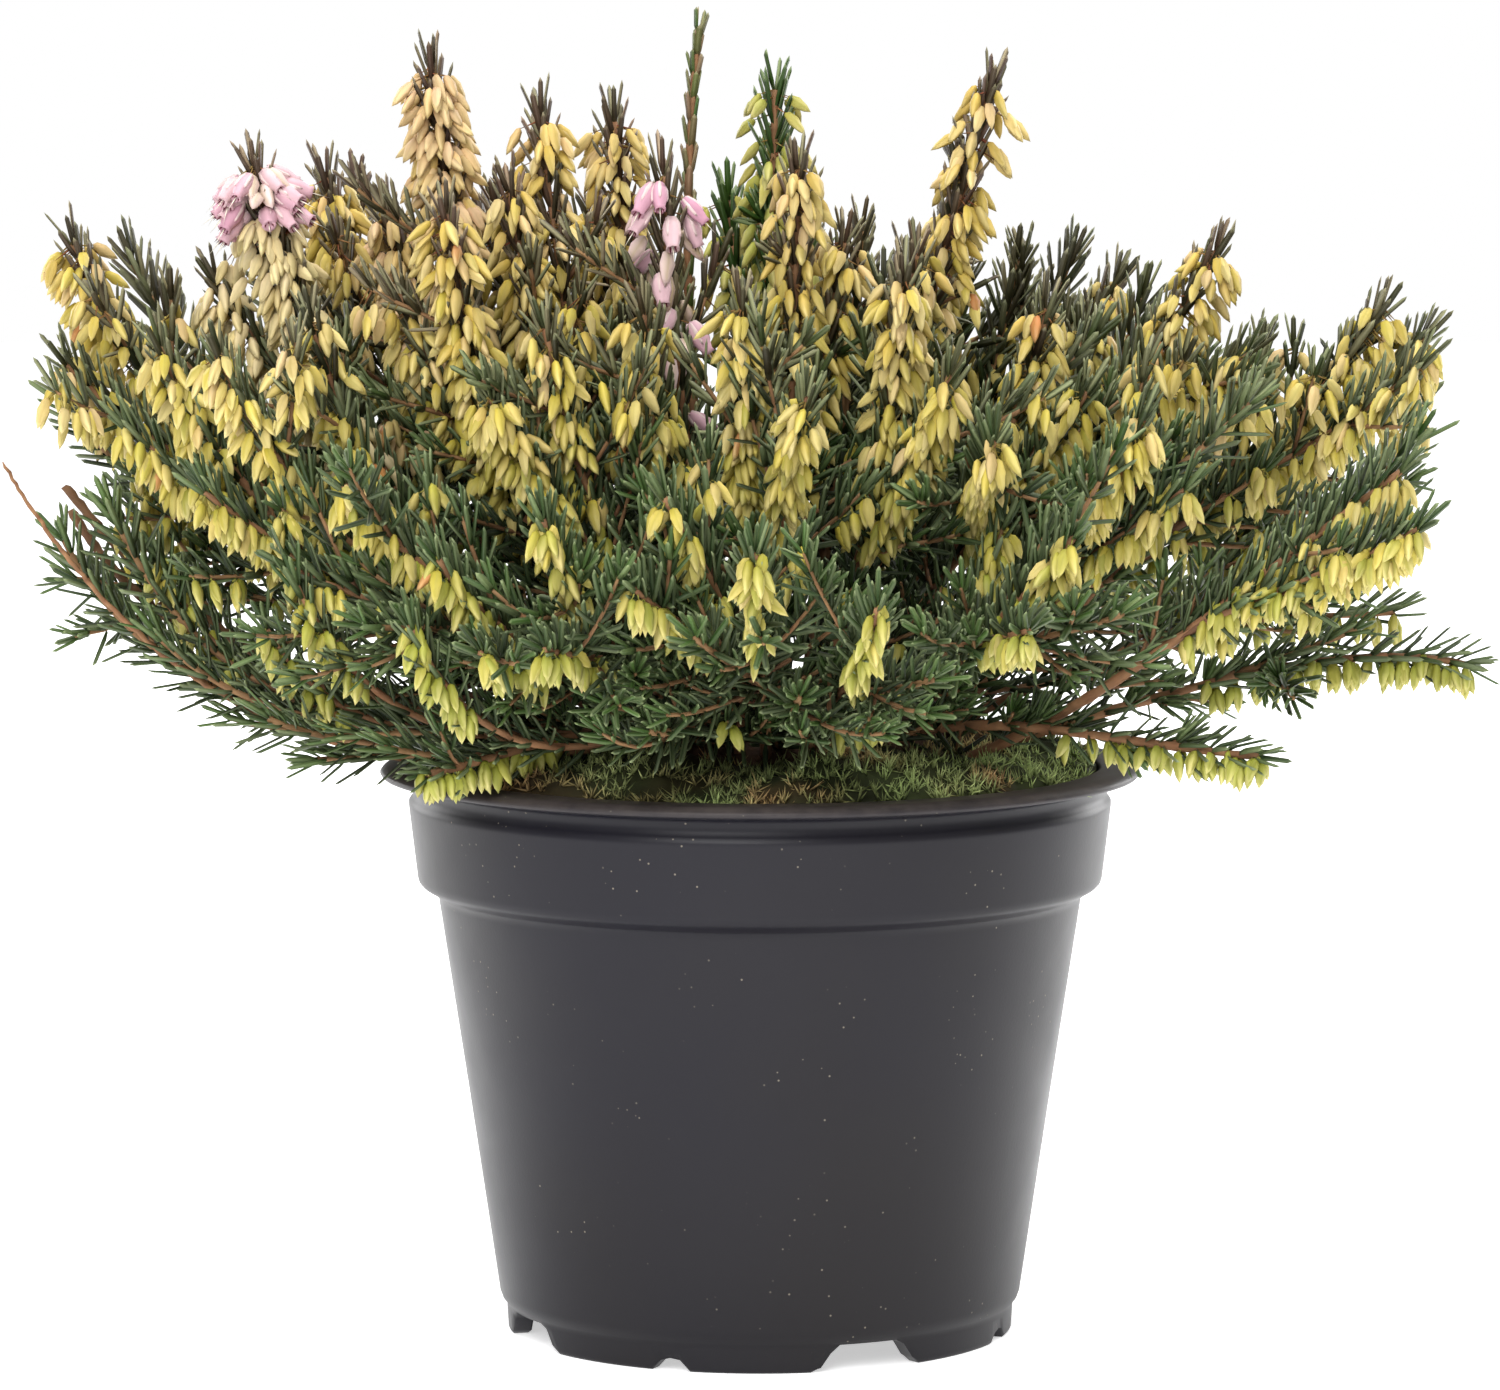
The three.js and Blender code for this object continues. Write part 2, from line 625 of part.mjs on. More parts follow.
// Dresses one shoot: needles all round and up to the tip, and buds hanging below its top half.
function dress(row, shoot, joined) {
  const { run, kind, from, owner } = shoot;
  const aside = asideOf(run);
  const { needles, buds } = countsFor(kind, row.run === run);
  const spotAt = (t, forward) => {
    const spot = onCore(shoot, t);
    return { ...spot, ...across(spot.tangent, aside), forward };
  };
  for (let i = 0; i < needles; i++) {
    const atTip = i < TIP_NEEDLES;
    const share = (i - TIP_NEEDLES + 0.5) / (needles - TIP_NEEDLES);
    const t = atTip ? TIP_FROM - TIP_STEP * i : from + (NEEDLES_TO - from) * share;
    const forward = kind === "r" ? PRESSED_LEAN : atTip ? TIP_LEAN : NEEDLE_LEAN;
    placeRepeat(spotAt(t, forward), "needle", shoot, i + owner, joined);
  }
  for (let i = 0; i < buds; i++) {
    const t = BUDS_FROM + ((BUDS_TO - BUDS_FROM) * (i + 0.5)) / buds;
    const what = kind === "p" ? "flower" : "bud";
    placeRepeat(spotAt(t, 0), what, shoot, i + owner + 1, joined);
  }
}

// Planting.
// The back of the bush: each stem's azimuth and reach by a rule, on the same dome as the front.
function backStems() {
  const rows = [];
  for (let i = 0; i < BACK_STEMS; i++) {
    const turn = Math.PI * ((i + 0.5) / BACK_STEMS) * 0.94 + 0.1;
    const reach = [1, 0.62, 0.84, 0.4][i % 4];
    const tipAt = (bearing, out, drop, kind) => [
      BACK_REACH_X * out * Math.cos(bearing),
      8 + (BACK_REACH_Y - 8) * out * Math.sin(bearing),
      208 - 62 * out * out - drop,
      kind,
    ];
    const kind = i % 3 === 1 ? "g" : "b";
    const [x, y, z] = tipAt(turn, reach, 6 * chance(i), kind);
    const sides = [tipAt(turn + 0.13, reach * 0.86, 14, "b")];
    if (reach > 0.5) {
      sides.push(tipAt(turn - 0.12, Math.min(reach * 1.02, 0.98), 26, i % 2 ? "g" : "b"));
    }
    rows.push({ tip: [x, y, z], kind, arch: BACK_ARCH, sides });
  }
  return rows;
}

// Gives each stem its place in the crown: below its tip, drawn in, then pushed apart in small
// steps until all stand clear of each other inside the crown.
function rooted(rows) {
  const spots = rows.map((row) => new THREE.Vector2(row.tip[0], row.tip[1]).multiplyScalar(ROOT_SHARE));
  for (let pass = 0; pass < ROOT_PASSES; pass++) {
    const moves = spots.map(() => new THREE.Vector2());
    spots.forEach((spot, i) => {
      spots.forEach((other, j) => {
        const apart = spot.clone().sub(other);
        const distance = apart.length();
        if (i !== j && distance < ROOT_SPACING) {
          moves[i].addScaledVector(apart, (0.3 * (ROOT_SPACING - distance)) / Math.max(distance, 0.01));
        }
      });
    });
    spots.forEach((spot, i) => {
      spot.add(moves[i]);
      const r = spot.length();
      if (r > ROOT_REACH) {
        spot.multiplyScalar(ROOT_REACH / r);
      }
    });
  }
  rows.forEach((row, i) => {
    row.root = [spots[i].x, spots[i].y];
  });
  return rows;
}

function rootPoint(row) {
  return new THREE.Vector3(row.root[0], row.root[1], CROWN_TOP - HOLE_DEPTH);
}

function recordShoot(shoot, steps) {
  shoot.steps = steps;
  shoot.rings = ringsOf(shoot.run, steps);
  beadsOf(shoot.rings).forEach((bead) => enter(bead, STEM_LEAFY_R, shoot.owner, shoot));
}

// Lays out every run before anything is dressed, main stems first and then side shoots.
function layOut(rows) {
  rows.forEach((row, owner) => {
    const start = rootPoint(row);
    const end = new THREE.Vector3(...row.tip.slice(0, 3));
    const leave = row.leave ? new THREE.Vector3(...row.leave) : null;
    row.run = bentClear(start, end, row, leave, MAIN_STEPS, owner) ?? runOf(start, end, row, leave);
    row.shoots = [{ run: row.run, kind: row.kind, from: MAIN_BARE, owner }];
    recordShoot(row.shoots[0], MAIN_STEPS);
  });
  rows.forEach((row, owner) => {
    (row.sides ?? []).forEach(([x, y, z, kind], i) => {
      for (const from of [0.42 + 0.1 * i, 0.36 + 0.1 * i, 0.5 + 0.1 * i, 0.3]) {
        const { place: start, tangent } = onCore(row.shoots[0], from);
        const end = new THREE.Vector3(x, y, z);
        const leave = end.clone().sub(start).normalize().add(tangent).normalize();
        const run = bentClear(start, end, {}, leave, SIDE_STEPS, owner);
        if (run) {
          const shoot = { run, kind, from: SIDE_BARE, owner };
          row.shoots.push(shoot);
          recordShoot(shoot, SIDE_STEPS);
          return;
        }
      }
    });
  });
}

// A straight cutter round one stretch of a core, for a plain hole or a channel.
function stretchCutter(from, to, radius, before) {
  const length = from.distanceTo(to) + before;
  const cutter = new THREE.CylinderGeometry(radius, radius, length, HOLE_SIDES);
  cutter.translate(0, length / 2 - before, 0);
  return stood(cutter, from, to.clone().sub(from), 0);
}

// The hole that a stem stands in, and a channel through the moss where it runs out low.
function holesFor(row) {
  const radius = (row.kind === "c" ? CUT_STEM_R : STEM_ROOT_R) + HOLE_PLAY;
  const { rings } = row.shoots[0];
  const holes = [stretchCutter(rings[0], rings[1], radius, HOLE_END)];
  if (Math.min(rings[1].z, rings[2].z) < CROWN_TOP + LOW_RUN) {
    holes.push(stretchCutter(rings[1], rings[2], radius, radius));
  }
  return holes;
}

function makeStem(row) {
  const thick = row.kind === "c";
  const radii = thick
    ? [CUT_STEM_R, CUT_STEM_R, CUT_STEM_R * 0.9]
    : [STEM_ROOT_R, STEM_LEAFY_R, STEM_TIP_R];
  const joined = [coreOf(row.run, MAIN_STEPS, radii, thick)];
  row.shoots.slice(1).forEach((shoot) => {
    const slim = [FORK_R, STEM_LEAFY_R, STEM_TIP_R];
    joined.push(coreOf(shoot.run, SIDE_STEPS, slim, false));
  });
  if (row.kind !== "t" && row.kind !== "c") {
    row.shoots.forEach((shoot) => dress(row, shoot, joined));
  }
  return mainBody(joinAll(joined));
}

const LOOKS = {
  b: { color: 0x9a9a45, roughness: 0.6, metalness: 0 },
  g: { color: 0x35523a, roughness: 0.6, metalness: 0 },
  p: { color: 0xcfa9ad, roughness: 0.6, metalness: 0 },
  r: { color: 0x7c4f44, roughness: 0.6, metalness: 0 },
  t: { color: 0x86583f, roughness: 0.7, metalness: 0 },
  c: { color: 0x7a5a42, roughness: 0.75, metalness: 0 },
};

const group = new THREE.Group();

function plant() {
  const rows = [
    ...FRONT_STEMS,
    ...backStems(),
    { ...TWIG, kind: "t" },
    ...CUT_STEMS.map((row) => ({ ...row, kind: "c" })),
  ];
  rooted(rows);
  layOut(rows);
  const names = new Map();
  rows.forEach((row, owner) => {
    const base = { t: "twig_bare", c: "stem_cut" }[row.kind] ?? "stem";
    names.set(base, (names.get(base) ?? 0) + 1);
    const number = String(names.get(base)).padStart(base === "stem" ? 2 : 1, "0");
    const name = row.kind === "t" ? base : `${base}_${number}`;
    group.add(meshOf(name, makeStem(row), LOOKS[row.kind]));
  });
  return rows;
}

const rows = plant();
group.add(meshOf("pot", makePot(), { color: 0x35353b, roughness: 0.42, metalness: 0 }));
const holes = rows.flatMap(holesFor);
group.add(meshOf("soil", makeSoil(holes), { color: 0x3a2a20, roughness: 1, metalness: 0 }));
group.add(meshOf("moss", makeMoss(holes), { color: 0x4d5a22, roughness: 1, metalness: 0 }));
export default group;
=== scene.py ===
"""A potted Darley Dale heath in bud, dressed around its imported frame.

Sizes are in millimetres and become metres when a mesh is written. Z is up, the pot's axis
stands on Z and the front is -Y. Each stem follows the run of its own solid and carries
needles, buds and flowers in their real number.
"""

import logging
import math
from collections.abc import Callable
from dataclasses import dataclass, field
from enum import Enum
from itertools import product
from typing import Any

import bpy
import numpy as np
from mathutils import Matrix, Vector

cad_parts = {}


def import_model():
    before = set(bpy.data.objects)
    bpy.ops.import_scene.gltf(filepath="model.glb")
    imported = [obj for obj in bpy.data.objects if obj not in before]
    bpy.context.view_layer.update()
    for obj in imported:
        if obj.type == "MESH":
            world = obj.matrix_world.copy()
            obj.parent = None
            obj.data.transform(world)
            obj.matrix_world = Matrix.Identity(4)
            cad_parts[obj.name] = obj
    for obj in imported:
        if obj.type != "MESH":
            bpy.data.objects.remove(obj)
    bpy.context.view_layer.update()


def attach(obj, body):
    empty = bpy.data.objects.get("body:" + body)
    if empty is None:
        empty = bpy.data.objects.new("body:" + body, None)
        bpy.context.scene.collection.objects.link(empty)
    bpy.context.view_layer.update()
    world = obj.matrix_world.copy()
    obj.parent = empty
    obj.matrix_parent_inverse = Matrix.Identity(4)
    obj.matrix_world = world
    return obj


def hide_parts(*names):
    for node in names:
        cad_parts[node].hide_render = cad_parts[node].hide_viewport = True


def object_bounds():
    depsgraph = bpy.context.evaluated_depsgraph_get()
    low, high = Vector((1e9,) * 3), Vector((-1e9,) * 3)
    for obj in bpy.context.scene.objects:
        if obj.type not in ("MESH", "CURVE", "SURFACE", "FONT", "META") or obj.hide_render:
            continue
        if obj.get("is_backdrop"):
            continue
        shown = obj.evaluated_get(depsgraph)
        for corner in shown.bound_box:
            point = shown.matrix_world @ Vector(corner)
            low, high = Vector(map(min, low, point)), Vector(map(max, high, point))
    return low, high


Array = np.ndarray
Rng = np.random.Generator
Material = bpy.types.Material
Piece = bpy.types.Object
Span = tuple[float, float]
Triple = tuple[float, float, float]

log = logging.getLogger("heath")

METRES = 0.001
UP = np.array([0.0, 0.0, 1.0])
DOME_MIDDLE = np.array([0.0, 0.0, 100.0])
DOME_REACH = np.array([125.0, 100.0, 100.0])
LATTICE = 64
BEAD_STEP = 1.5


def made(maker: Callable[..., object], *values: object) -> Any:
    """A dataclass field whose default is what a maker gives for some values."""
    return field(default_factory=lambda: maker(*values))


def unit(v: Array) -> Array:
    """Vectors scaled to length one."""
    return v / np.maximum(np.linalg.norm(v, axis=-1, keepdims=True), 1e-9)


def square_to(heading: Array, hint: Array) -> Array:
    """The part of a hint that is square to a heading, at length one; one hint may serve all."""
    return unit(hint - heading * np.sum(hint * heading, axis=-1, keepdims=True))


def ease(low: float, high: float, x: Array) -> Array:
    """A smooth step from 0 at low to 1 at high: 3s^2 - 2s^3 of the share s between them."""
    s = np.clip((np.asarray(x, dtype=float) - low) / (high - low), 0.0, 1.0)
    return s * s * (3.0 - 2.0 * s)


def circle(count: int) -> Array:
    """So many angles, spread evenly round a circle."""
    return np.arange(count) / count * 2 * np.pi


def blend(a: Array, b: Array, share: Array | float) -> Array:
    """Rows of a turned into b by a share for each row, or by one for all."""
    share = np.asarray(share, dtype=float)[..., None]
    return a * (1.0 - share) + b * share


def inside(base: Array) -> Array:
    """How deep in the bush points lie: 0 on its dome and 1 in its middle, by a squashed radius."""
    out = np.linalg.norm((base - DOME_MIDDLE) / DOME_REACH, axis=1)
    return 1 - ease(0.3, 0.7, out)


def linear(code: str) -> Array:
    """A colour written as six hex digits, as linear red, green and blue."""
    part = np.array([int(code[i : i + 2], 16) for i in (0, 2, 4)]) / 255.0
    return np.where(part <= 0.04045, part / 12.92, ((part + 0.055) / 1.055) ** 2.4)


def lattice_noise(x: Array, y: Array, seed: int) -> Array:
    """Smooth noise from -1 to 1: random values on whole numbers, eased between four of them.

    Args:
        x: First coordinate, in lattice steps.
        y: Second coordinate, in lattice steps.
        seed: Which lattice.

    Returns:
        The noise at each point.
    """
    table = np.random.default_rng(seed).uniform(-1.0, 1.0, (LATTICE, LATTICE))
    i, j = np.floor(x).astype(int), np.floor(y).astype(int)
    u, v = ease(0, 1, x - i), ease(0, 1, y - j)
    i1, j1 = (i + 1) % LATTICE, (j + 1) % LATTICE
    i, j = i % LATTICE, j % LATTICE
    low = table[i, j] * (1 - u) + table[i1, j] * u
    high = table[i, j1] * (1 - u) + table[i1, j1] * u
    return low * (1 - v) + high * v


# What the plant is made of.
class Kind(Enum):
    """What a shoot bears."""

    BUDDED = "b"
    GREEN = "g"
    FLOWERING = "p"
    REDDISH = "r"
    TWIG = "t"
    CUT = "c"


class Rank(Enum):
    """Where a shoot stands in its stem's branching."""

    MAIN = 0
    SIDE = 1
    SPUR = 2


class Tone(Enum):
    """The family of colours of a stem's buds and needles."""

    GOLD = 0
    CREAM = 1
    FRESH = 2
    BLUSH = 3


@dataclass(frozen=True)
class StemRow:
    """Where a stem ends, what it bears, how it arches, and its side shoots.

    Plenty scales how many buds hang on it, bells is how far from its top flowers are open, in
    millimetres, bare is the share of the main stem below its first needle, spurs scales the
    length of its short shoots, and buds_from is the share of the main stem at which its buds
    begin. Skirt lists low shoots: the share of the main stem at which they leave it, where they
    end, and what they bear.
    """

    tip: Triple
    kind: Kind
    arch: float
    sides: tuple[tuple[float, float, float, str], ...] = ()
    tone: Tone = Tone.GOLD
    lean: Triple = (0.0, 0.0, 0.0)
    leave: Triple | None = None
    plenty: float = 1.0
    bells: float = 0.0
    bare: float = 0.22
    spurs: float = 1.0
    buds_from: float = 0.5
    skirt: tuple[tuple[float, float, float, float, str], ...] = ()


def row(tip: tuple, kind: str, arch: float, *sides: tuple, **more: object) -> StemRow:
    """A row of the stem table."""
    return StemRow(tip, Kind(kind), arch, sides, **more)


FRONT_STEMS = [
    row((-119.5, 8, 191), "b", -0.72, (-111.6, 27, 187, "g"), (-122, -2, 170, "b"), plenty=1.45,
        skirt=((0.14, -104, -4, 119, "g"), (0.2, -98, 6, 130, "g"), (0.22, -121, -3, 141, "g"))),
    row((-102.5, -22, 175), "b", -0.7, (-111, -12, 160, "b"), (-96, -34, 150, "b"), plenty=1.3,
        skirt=((0.12, -95, -10, 108, "g"), (0.16, -106, -14, 126, "g"), (0.2, -112, -10, 147, "g"),
               (0.24, -104, -8, 138, "b"))),
    row((-126, 34, 162), "g", -0.5, (-124, 14, 129, "g"), (-112, 46, 150, "g"), (-97, 24, 119, "g"),
        skirt=((0.12, -114, 8, 127, "g"), (0.14, -86, 10, 106, "g"), (0.1, -74, 24, 104, "g"))),
    row((-86.8, -6, 204.7), "p", -0.7, (-96, 8, 184, "b"), tone=Tone.CREAM, plenty=1.9, bells=9.0),
    row((-76.7, 30, 202), "b", -0.7, (-90, 40, 184, "g"), plenty=1.3),
    row((-56.6, 4, 221.6), "b", -1, (-66, 14, 196, "b"), tone=Tone.BLUSH, plenty=1.85),
    row((-53, -30, 197.8), "b", -0.8, (-62, -24, 184, "b"), plenty=1.3),
    row((-43, -12, 201.5), "b", -0.5, (-38, 2, 213, "b"), plenty=1.4),
    row((-25.6, 16, 212), "b", -0.5, (-30, 30, 196, "b"), plenty=1.4),
    row((-9.8, 2, 227.6), "r", 0, lean=(-8, -8, 0)),
    row((-16.5, -26, 204), "p", -0.6, (-20, -46, 182, "b"), plenty=0.6, bells=42.0),
    row((2.6, 12, 217.6), "b", -0.4, (-6, 22, 199, "b"), tone=Tone.FRESH, spurs=0.5),
    row((6.5, -13, 205), "b", -0.5, (15, -3, 192, "b"), spurs=0.6),
    row((17.8, 22, 193), "g", -0.4, (8, 34, 190, "g"), spurs=0.6),
    row((41, 6, 218.4), "b", 0.4, (27, -8, 190, "b"), spurs=0.5, plenty=1.3),
    row((46, 40, 187), "g", -0.4, (57, 50, 187, "g"), (65, 36, 183, "b")),
    row((80, -4, 190), "b", 0.1, (70, 8, 176, "g"), (86, -14, 172, "b"), plenty=1.85),
    row((90, 38, 171), "b", -0.2, (80, 50, 168, "g"), plenty=1.85),
    row((108.4, -4, 180), "b", -0.2, (117, 2, 174, "b"), (114.6, -18, 170, "b"), plenty=1.85),
    row((108, -60, 155), "b", 0.2, (112, -40, 160, "g"), (110, -68, 146, "b"), bare=0.55, spurs=0.7,
        leave=(0.72, -0.66, 0.2), plenty=1.85),
    row((125.5, -8, 113.5), "b", 0.9, (106, -10, 124, "g"), (90, -34, 111, "g"), spurs=0.3,
        lean=(12, -2, 12), leave=(0.97, -0.05, 0.22)),
    row((86, -58, 105), "b", 1, spurs=0.35, plenty=1.1),
    row((-58, -62, 102), "b", 2, (-74, -44, 107, "g"), spurs=0.6),
    row((-19, -78, 112), "g", 0.2, (-28, -70, 116, "g")),
    row((6.3, -84, 119), "g", 0.1, (20, -78, 112, "g")),
    row((19, -100, 137), "b", -0.4, (30, -88, 122, "g"), plenty=0.85, buds_from=0.62),
    row((51.6, -84, 147), "b", -0.2, (62, -76, 132, "g"), (44, -92, 130, "b"), buds_from=0.55),
    row((64, -58, 165), "b", -0.3, (73, -52, 152, "b"), (84, -44, 166, "g"), plenty=1.2),
    row((-1, -102, 146), "b", -0.4, (-12, -94, 130, "g"), plenty=0.85, buds_from=0.62),
    row((-18, -84, 154), "b", -0.4, (-22, -92, 138, "b"), plenty=0.85, buds_from=0.62),
    row((-36, -80, 150), "b", -0.4, (-36, -92, 127, "b"), plenty=0.85, buds_from=0.62),
    row((-54, -74, 143), "b", -0.4, (-47, -84, 126, "b"), plenty=1.1, buds_from=0.55,
        skirt=((0.2, -58, -72, 133, "b"),)),
    row((-71, -58, 154), "b", -0.4,
        (-82, -50, 138, "b"), (-68, -68, 128, "g"), (-86, -34, 119, "g"),
        plenty=0.85, buds_from=0.62,
        skirt=((0.14, -80, -28, 101, "g"), (0.12, -66, -54, 108, "g"), (0.2, -78, -52, 138, "b"))),
    row((-91, -44, 175), "b", -0.6, (-76, -36, 180, "b"),
        skirt=((0.12, -86, -40, 112, "g"), (0.18, -84, -40, 129, "b"))),
    row((-36, -50, 180), "b", -0.5, (-46, -58, 168, "b")),
    row((-3, -58, 184), "b", -0.5, (8, -74, 169, "b"), plenty=1.4),
    row((24, -44, 188), "b", -0.5, (32, -60, 172, "b")),
    row((49, -28, 182), "b", -0.4, (56, -42, 168, "b"), (38, -72, 160, "b"), plenty=1.3),
]
LOW_AND_LEFT = (-0.99, 0.0, 0.14)
BARE_STEMS = [
    row((-128, -12, 150), "t", -1.4, lean=(13.5, 0, -9), leave=LOW_AND_LEFT),
    row((-119, 2, 145), "c", -0.6, leave=LOW_AND_LEFT),
    row((-119, 14, 140), "c", -1.1, leave=LOW_AND_LEFT),
]


@dataclass(frozen=True)
class Run:
    """A cubic curve, by its four control points."""

    points: Array

    def at(self, t: Array) -> Array:
        """Points at shares t: the four control points weighed by the cubic Bernstein terms."""
        t = np.asarray(t, dtype=float)[..., None]
        s, p = 1.0 - t, self.points
        return s**3 * p[0] + 3 * s * s * t * p[1] + 3 * s * t * t * p[2] + t**3 * p[3]


@dataclass
class Shoot:
    """One shoot of a stem, measured along its run."""

    run: Run
    kind: Kind
    rank: Rank
    bare: float
    row: StemRow
    buds_from: float | None = None
    fine: int = 64

    def __post_init__(self) -> None:
        """Measures the run by straight lines between many points."""
        self.spots = self.run.at(np.linspace(0, 1, self.fine + 1))
        steps = np.linalg.norm(np.diff(self.spots, axis=0), axis=1)
        self.reached = np.concatenate([[0.0], np.cumsum(steps)])
        self.headings = unit(np.gradient(self.spots, axis=0))

    @property
    def length(self) -> float:
        """The whole length."""
        return float(self.reached[-1])

    def place(self, s: Array) -> tuple[Array, Array]:
        """Points and headings at lengths s from the foot of the shoot."""
        spots = np.stack([np.interp(s, self.reached, self.spots[:, k]) for k in range(3)], -1)
        ways = np.stack([np.interp(s, self.reached, self.headings[:, k]) for k in range(3)], -1)
        return spots, unit(ways)

    def around(self, s: Array, turn: Array, lift: float) -> tuple[Array, ...]:
        """Where things stand that leave a shoot sideways.

        Args:
            s: Lengths from the foot of the shoot.
            turn: Angles round it.
            lift: How far a level shoot draws them up, or down if it is negative.

        Returns:
            The points, the headings, the ways outward, and how level the shoot is, from 0 to 1.
        """
        spots, ways = self.place(s)
        level = square_to(ways, self.aside)
        other = np.cross(ways, level)
        outward = level * np.cos(turn)[:, None] + other * np.sin(turn)[:, None]
        sloping = np.sqrt(np.clip(1 - ways[:, 2] ** 2, 0, 1))
        drawn = square_to(ways, UP) * (sloping * lift)[:, None]
        return spots, ways, unit(outward + drawn), sloping

    @property
    def aside(self) -> Array:
        """A level direction across the whole run."""
        far = self.run.points[3] - self.run.points[0]
        level = np.array([-far[1], far[0], 0.0])
        return np.array([1.0, 0.0, 0.0]) if np.linalg.norm(level) < 1e-6 else unit(level)


@dataclass
class Planting:
    """Lays out the runs of all stems, as their solids have them."""

    crown_top: float = 103.0
    crown_r: float = 32.0
    neck_r: float = 59.2
    lip_r: float = 65.0
    lip_top: float = 97.6
    wall: float = 1.1
    hole_depth: float = 7.0
    root_share: float = 0.25
    root_spacing: float = 6.2
    root_reach: float = 25.0
    root_passes: int = 60
    first_rise: float = 17.0
    last_ring: float = 0.93
    main_steps: int = 5
    side_steps: int = 3
    core_r: float = 1.35
    root_r: float = 1.2
    core_clear: float = 2.0
    back_stems: int = 16
    back_reach: Span = (118.0, 101.0)
    back_arch: float = -0.5
    lean_below: float = 0.4
    lift_below: float = 0.3
    lifts: tuple[float, ...] = (0, 4, -4, 8, -8)
    sways: tuple[float, ...] = (0, 3, -3, 6, -6, 9, -9, 12, -12, 15, -15)
    beads: list = field(default_factory=list)
    owners: list = field(default_factory=list)

    def moss_top(self, r: Array, turn: Array) -> Array:
        """Height of the moss: a slope that steepens outward, with lumps from two sine waves."""
        out = (r - self.crown_r) / (self.neck_r - self.wall - self.crown_r)
        lumps = 1.1 * np.sin(5 * turn + 0.6) + 0.9 * np.sin(9 * turn + 2.1 + r * 0.11)
        return self.crown_top - 0.8 - 5 * out * out + lumps * (1 - 0.4 * out)

    @staticmethod
    def chance(n: int) -> float:
        """A repeatable number from 0 to 1 for a whole number, by mixing its bits."""
        mask = 0xFFFFFFFF
        a = (n * 0x9E3779B1 + 0x6D2B79F5) & mask
        a = ((a ^ (a >> 15)) * (a | 1)) & mask
        a = (a ^ (a + (a ^ (a >> 7)) * (a | 61))) & mask
        return (a ^ (a >> 14)) / 4294967296

    def back_rows(self) -> list[StemRow]:
        """The stems of the back half, on the same dome as the front."""
        rows = []

        def tip_at(turn: float, out: float, drop: float) -> Triple:
            """A point of the dome at a bearing and a share of its reach."""
            wide, deep = self.back_reach
            x, y = wide * out * math.cos(turn), 8 + (deep - 8) * out * math.sin(turn)
            return x, y, 208 - 62 * out * out - drop

        for i in range(self.back_stems):
            turn = math.pi * ((i + 0.5) / self.back_stems) * 0.94 + 0.1
            reach = (1, 0.62, 0.84, 0.4)[i % 4]
            sides = [(*tip_at(turn + 0.13, reach * 0.86, 14), "b")]
            if reach > 0.5:
                low = tip_at(turn - 0.12, min(reach * 1.02, 0.98), 26)
                sides.append((*low, "g" if i % 2 else "b"))
            kind = Kind.GREEN if i % 3 == 1 else Kind.BUDDED
            tip = tip_at(turn, reach, 6 * self.chance(i))
            rows.append(StemRow(tip, kind, self.back_arch, tuple(sides)))
        return rows

    def roots(self, rows: list[StemRow]) -> Array:
        """Each stem's place in the crown: below its tip, drawn in, and pushed apart in steps."""
        spots = np.array([r.tip[:2] for r in rows], dtype=float) * self.root_share
        for _ in range(self.root_passes):
            apart = spots[:, None] - spots[None]
            far = np.linalg.norm(apart, axis=2)
            near = (far < self.root_spacing) & ~np.eye(len(rows), dtype=bool)
            push = np.where(near, 0.3 * (self.root_spacing - far) / np.maximum(far, 0.01), 0.0)
            spots = spots + np.sum(apart * push[..., None], axis=1)
            out = np.linalg.norm(spots, axis=1, keepdims=True)
            held = spots * self.root_reach / np.maximum(out, 1e-9)
            spots = np.where(out > self.root_reach, held, spots)
        return spots

    def curve(self, start: Array, end: Array, arch: float, lean: tuple,
              leave: Array | None) -> Array:
        """Control points of a run that rises and then spreads, or that sets off along leave."""
        far = end - start
        first = start + far * (0.15 - 0.1 * arch)
        first[2] = start[2] + self.first_rise + far[2] * (0.1 + 0.12 * arch)
        if leave is not None:
            first = start + leave * np.linalg.norm(far) * 0.35
        second = start + far * (0.72 - 0.08 * arch)
        second[2] = start[2] + far[2] * (0.6 + 0.3 * arch)
        drawn = np.array(lean)
        return np.array([start, first + drawn * self.lean_below, second + drawn, end])

    def rings(self, run: Run, steps: int) -> Array:
        """The points that a solid core's rings stand at."""
        places = [self.last_ring * i / (steps - 1) for i in range(steps)] + [1.0]
        return run.at(np.array(places))

    @staticmethod
    def beads_of(rings: Array) -> Array:
        """Points every bead step or less along the lines between rings."""
        rows = []
        for a, b in zip(rings[:-1], rings[1:]):
            count = math.ceil(np.linalg.norm(b - a) / BEAD_STEP)
            rows.append(a + (b - a) * (np.arange(count) / count)[:, None])
        rows.append(rings[-1:])
        return np.concatenate(rows)

    def clear(self, beads: Array, owner: int) -> bool:
        """True if a run keeps its distance from the other stems and from the pot's lip."""
        out = np.hypot(beads[:, 0], beads[:, 1])
        moss = self.moss_top(out, np.arctan2(beads[:, 1], beads[:, 0]))
        low = np.where(out < self.neck_r, moss, self.lip_top)
        low = np.where(out < self.lip_r + 2, low + 0.4, 0.0)
        if np.any((out >= self.neck_r - 2) & (beads[:, 2] <= low + self.root_r)):
            return False
        others = [b for b, o in zip(self.beads, self.owners) if o != owner]
        if not others:
            return True
        gaps = np.linalg.norm(np.concatenate(others)[None] - beads[:, None], axis=2)
        return bool(gaps.min() >= self.core_r + self.core_clear)

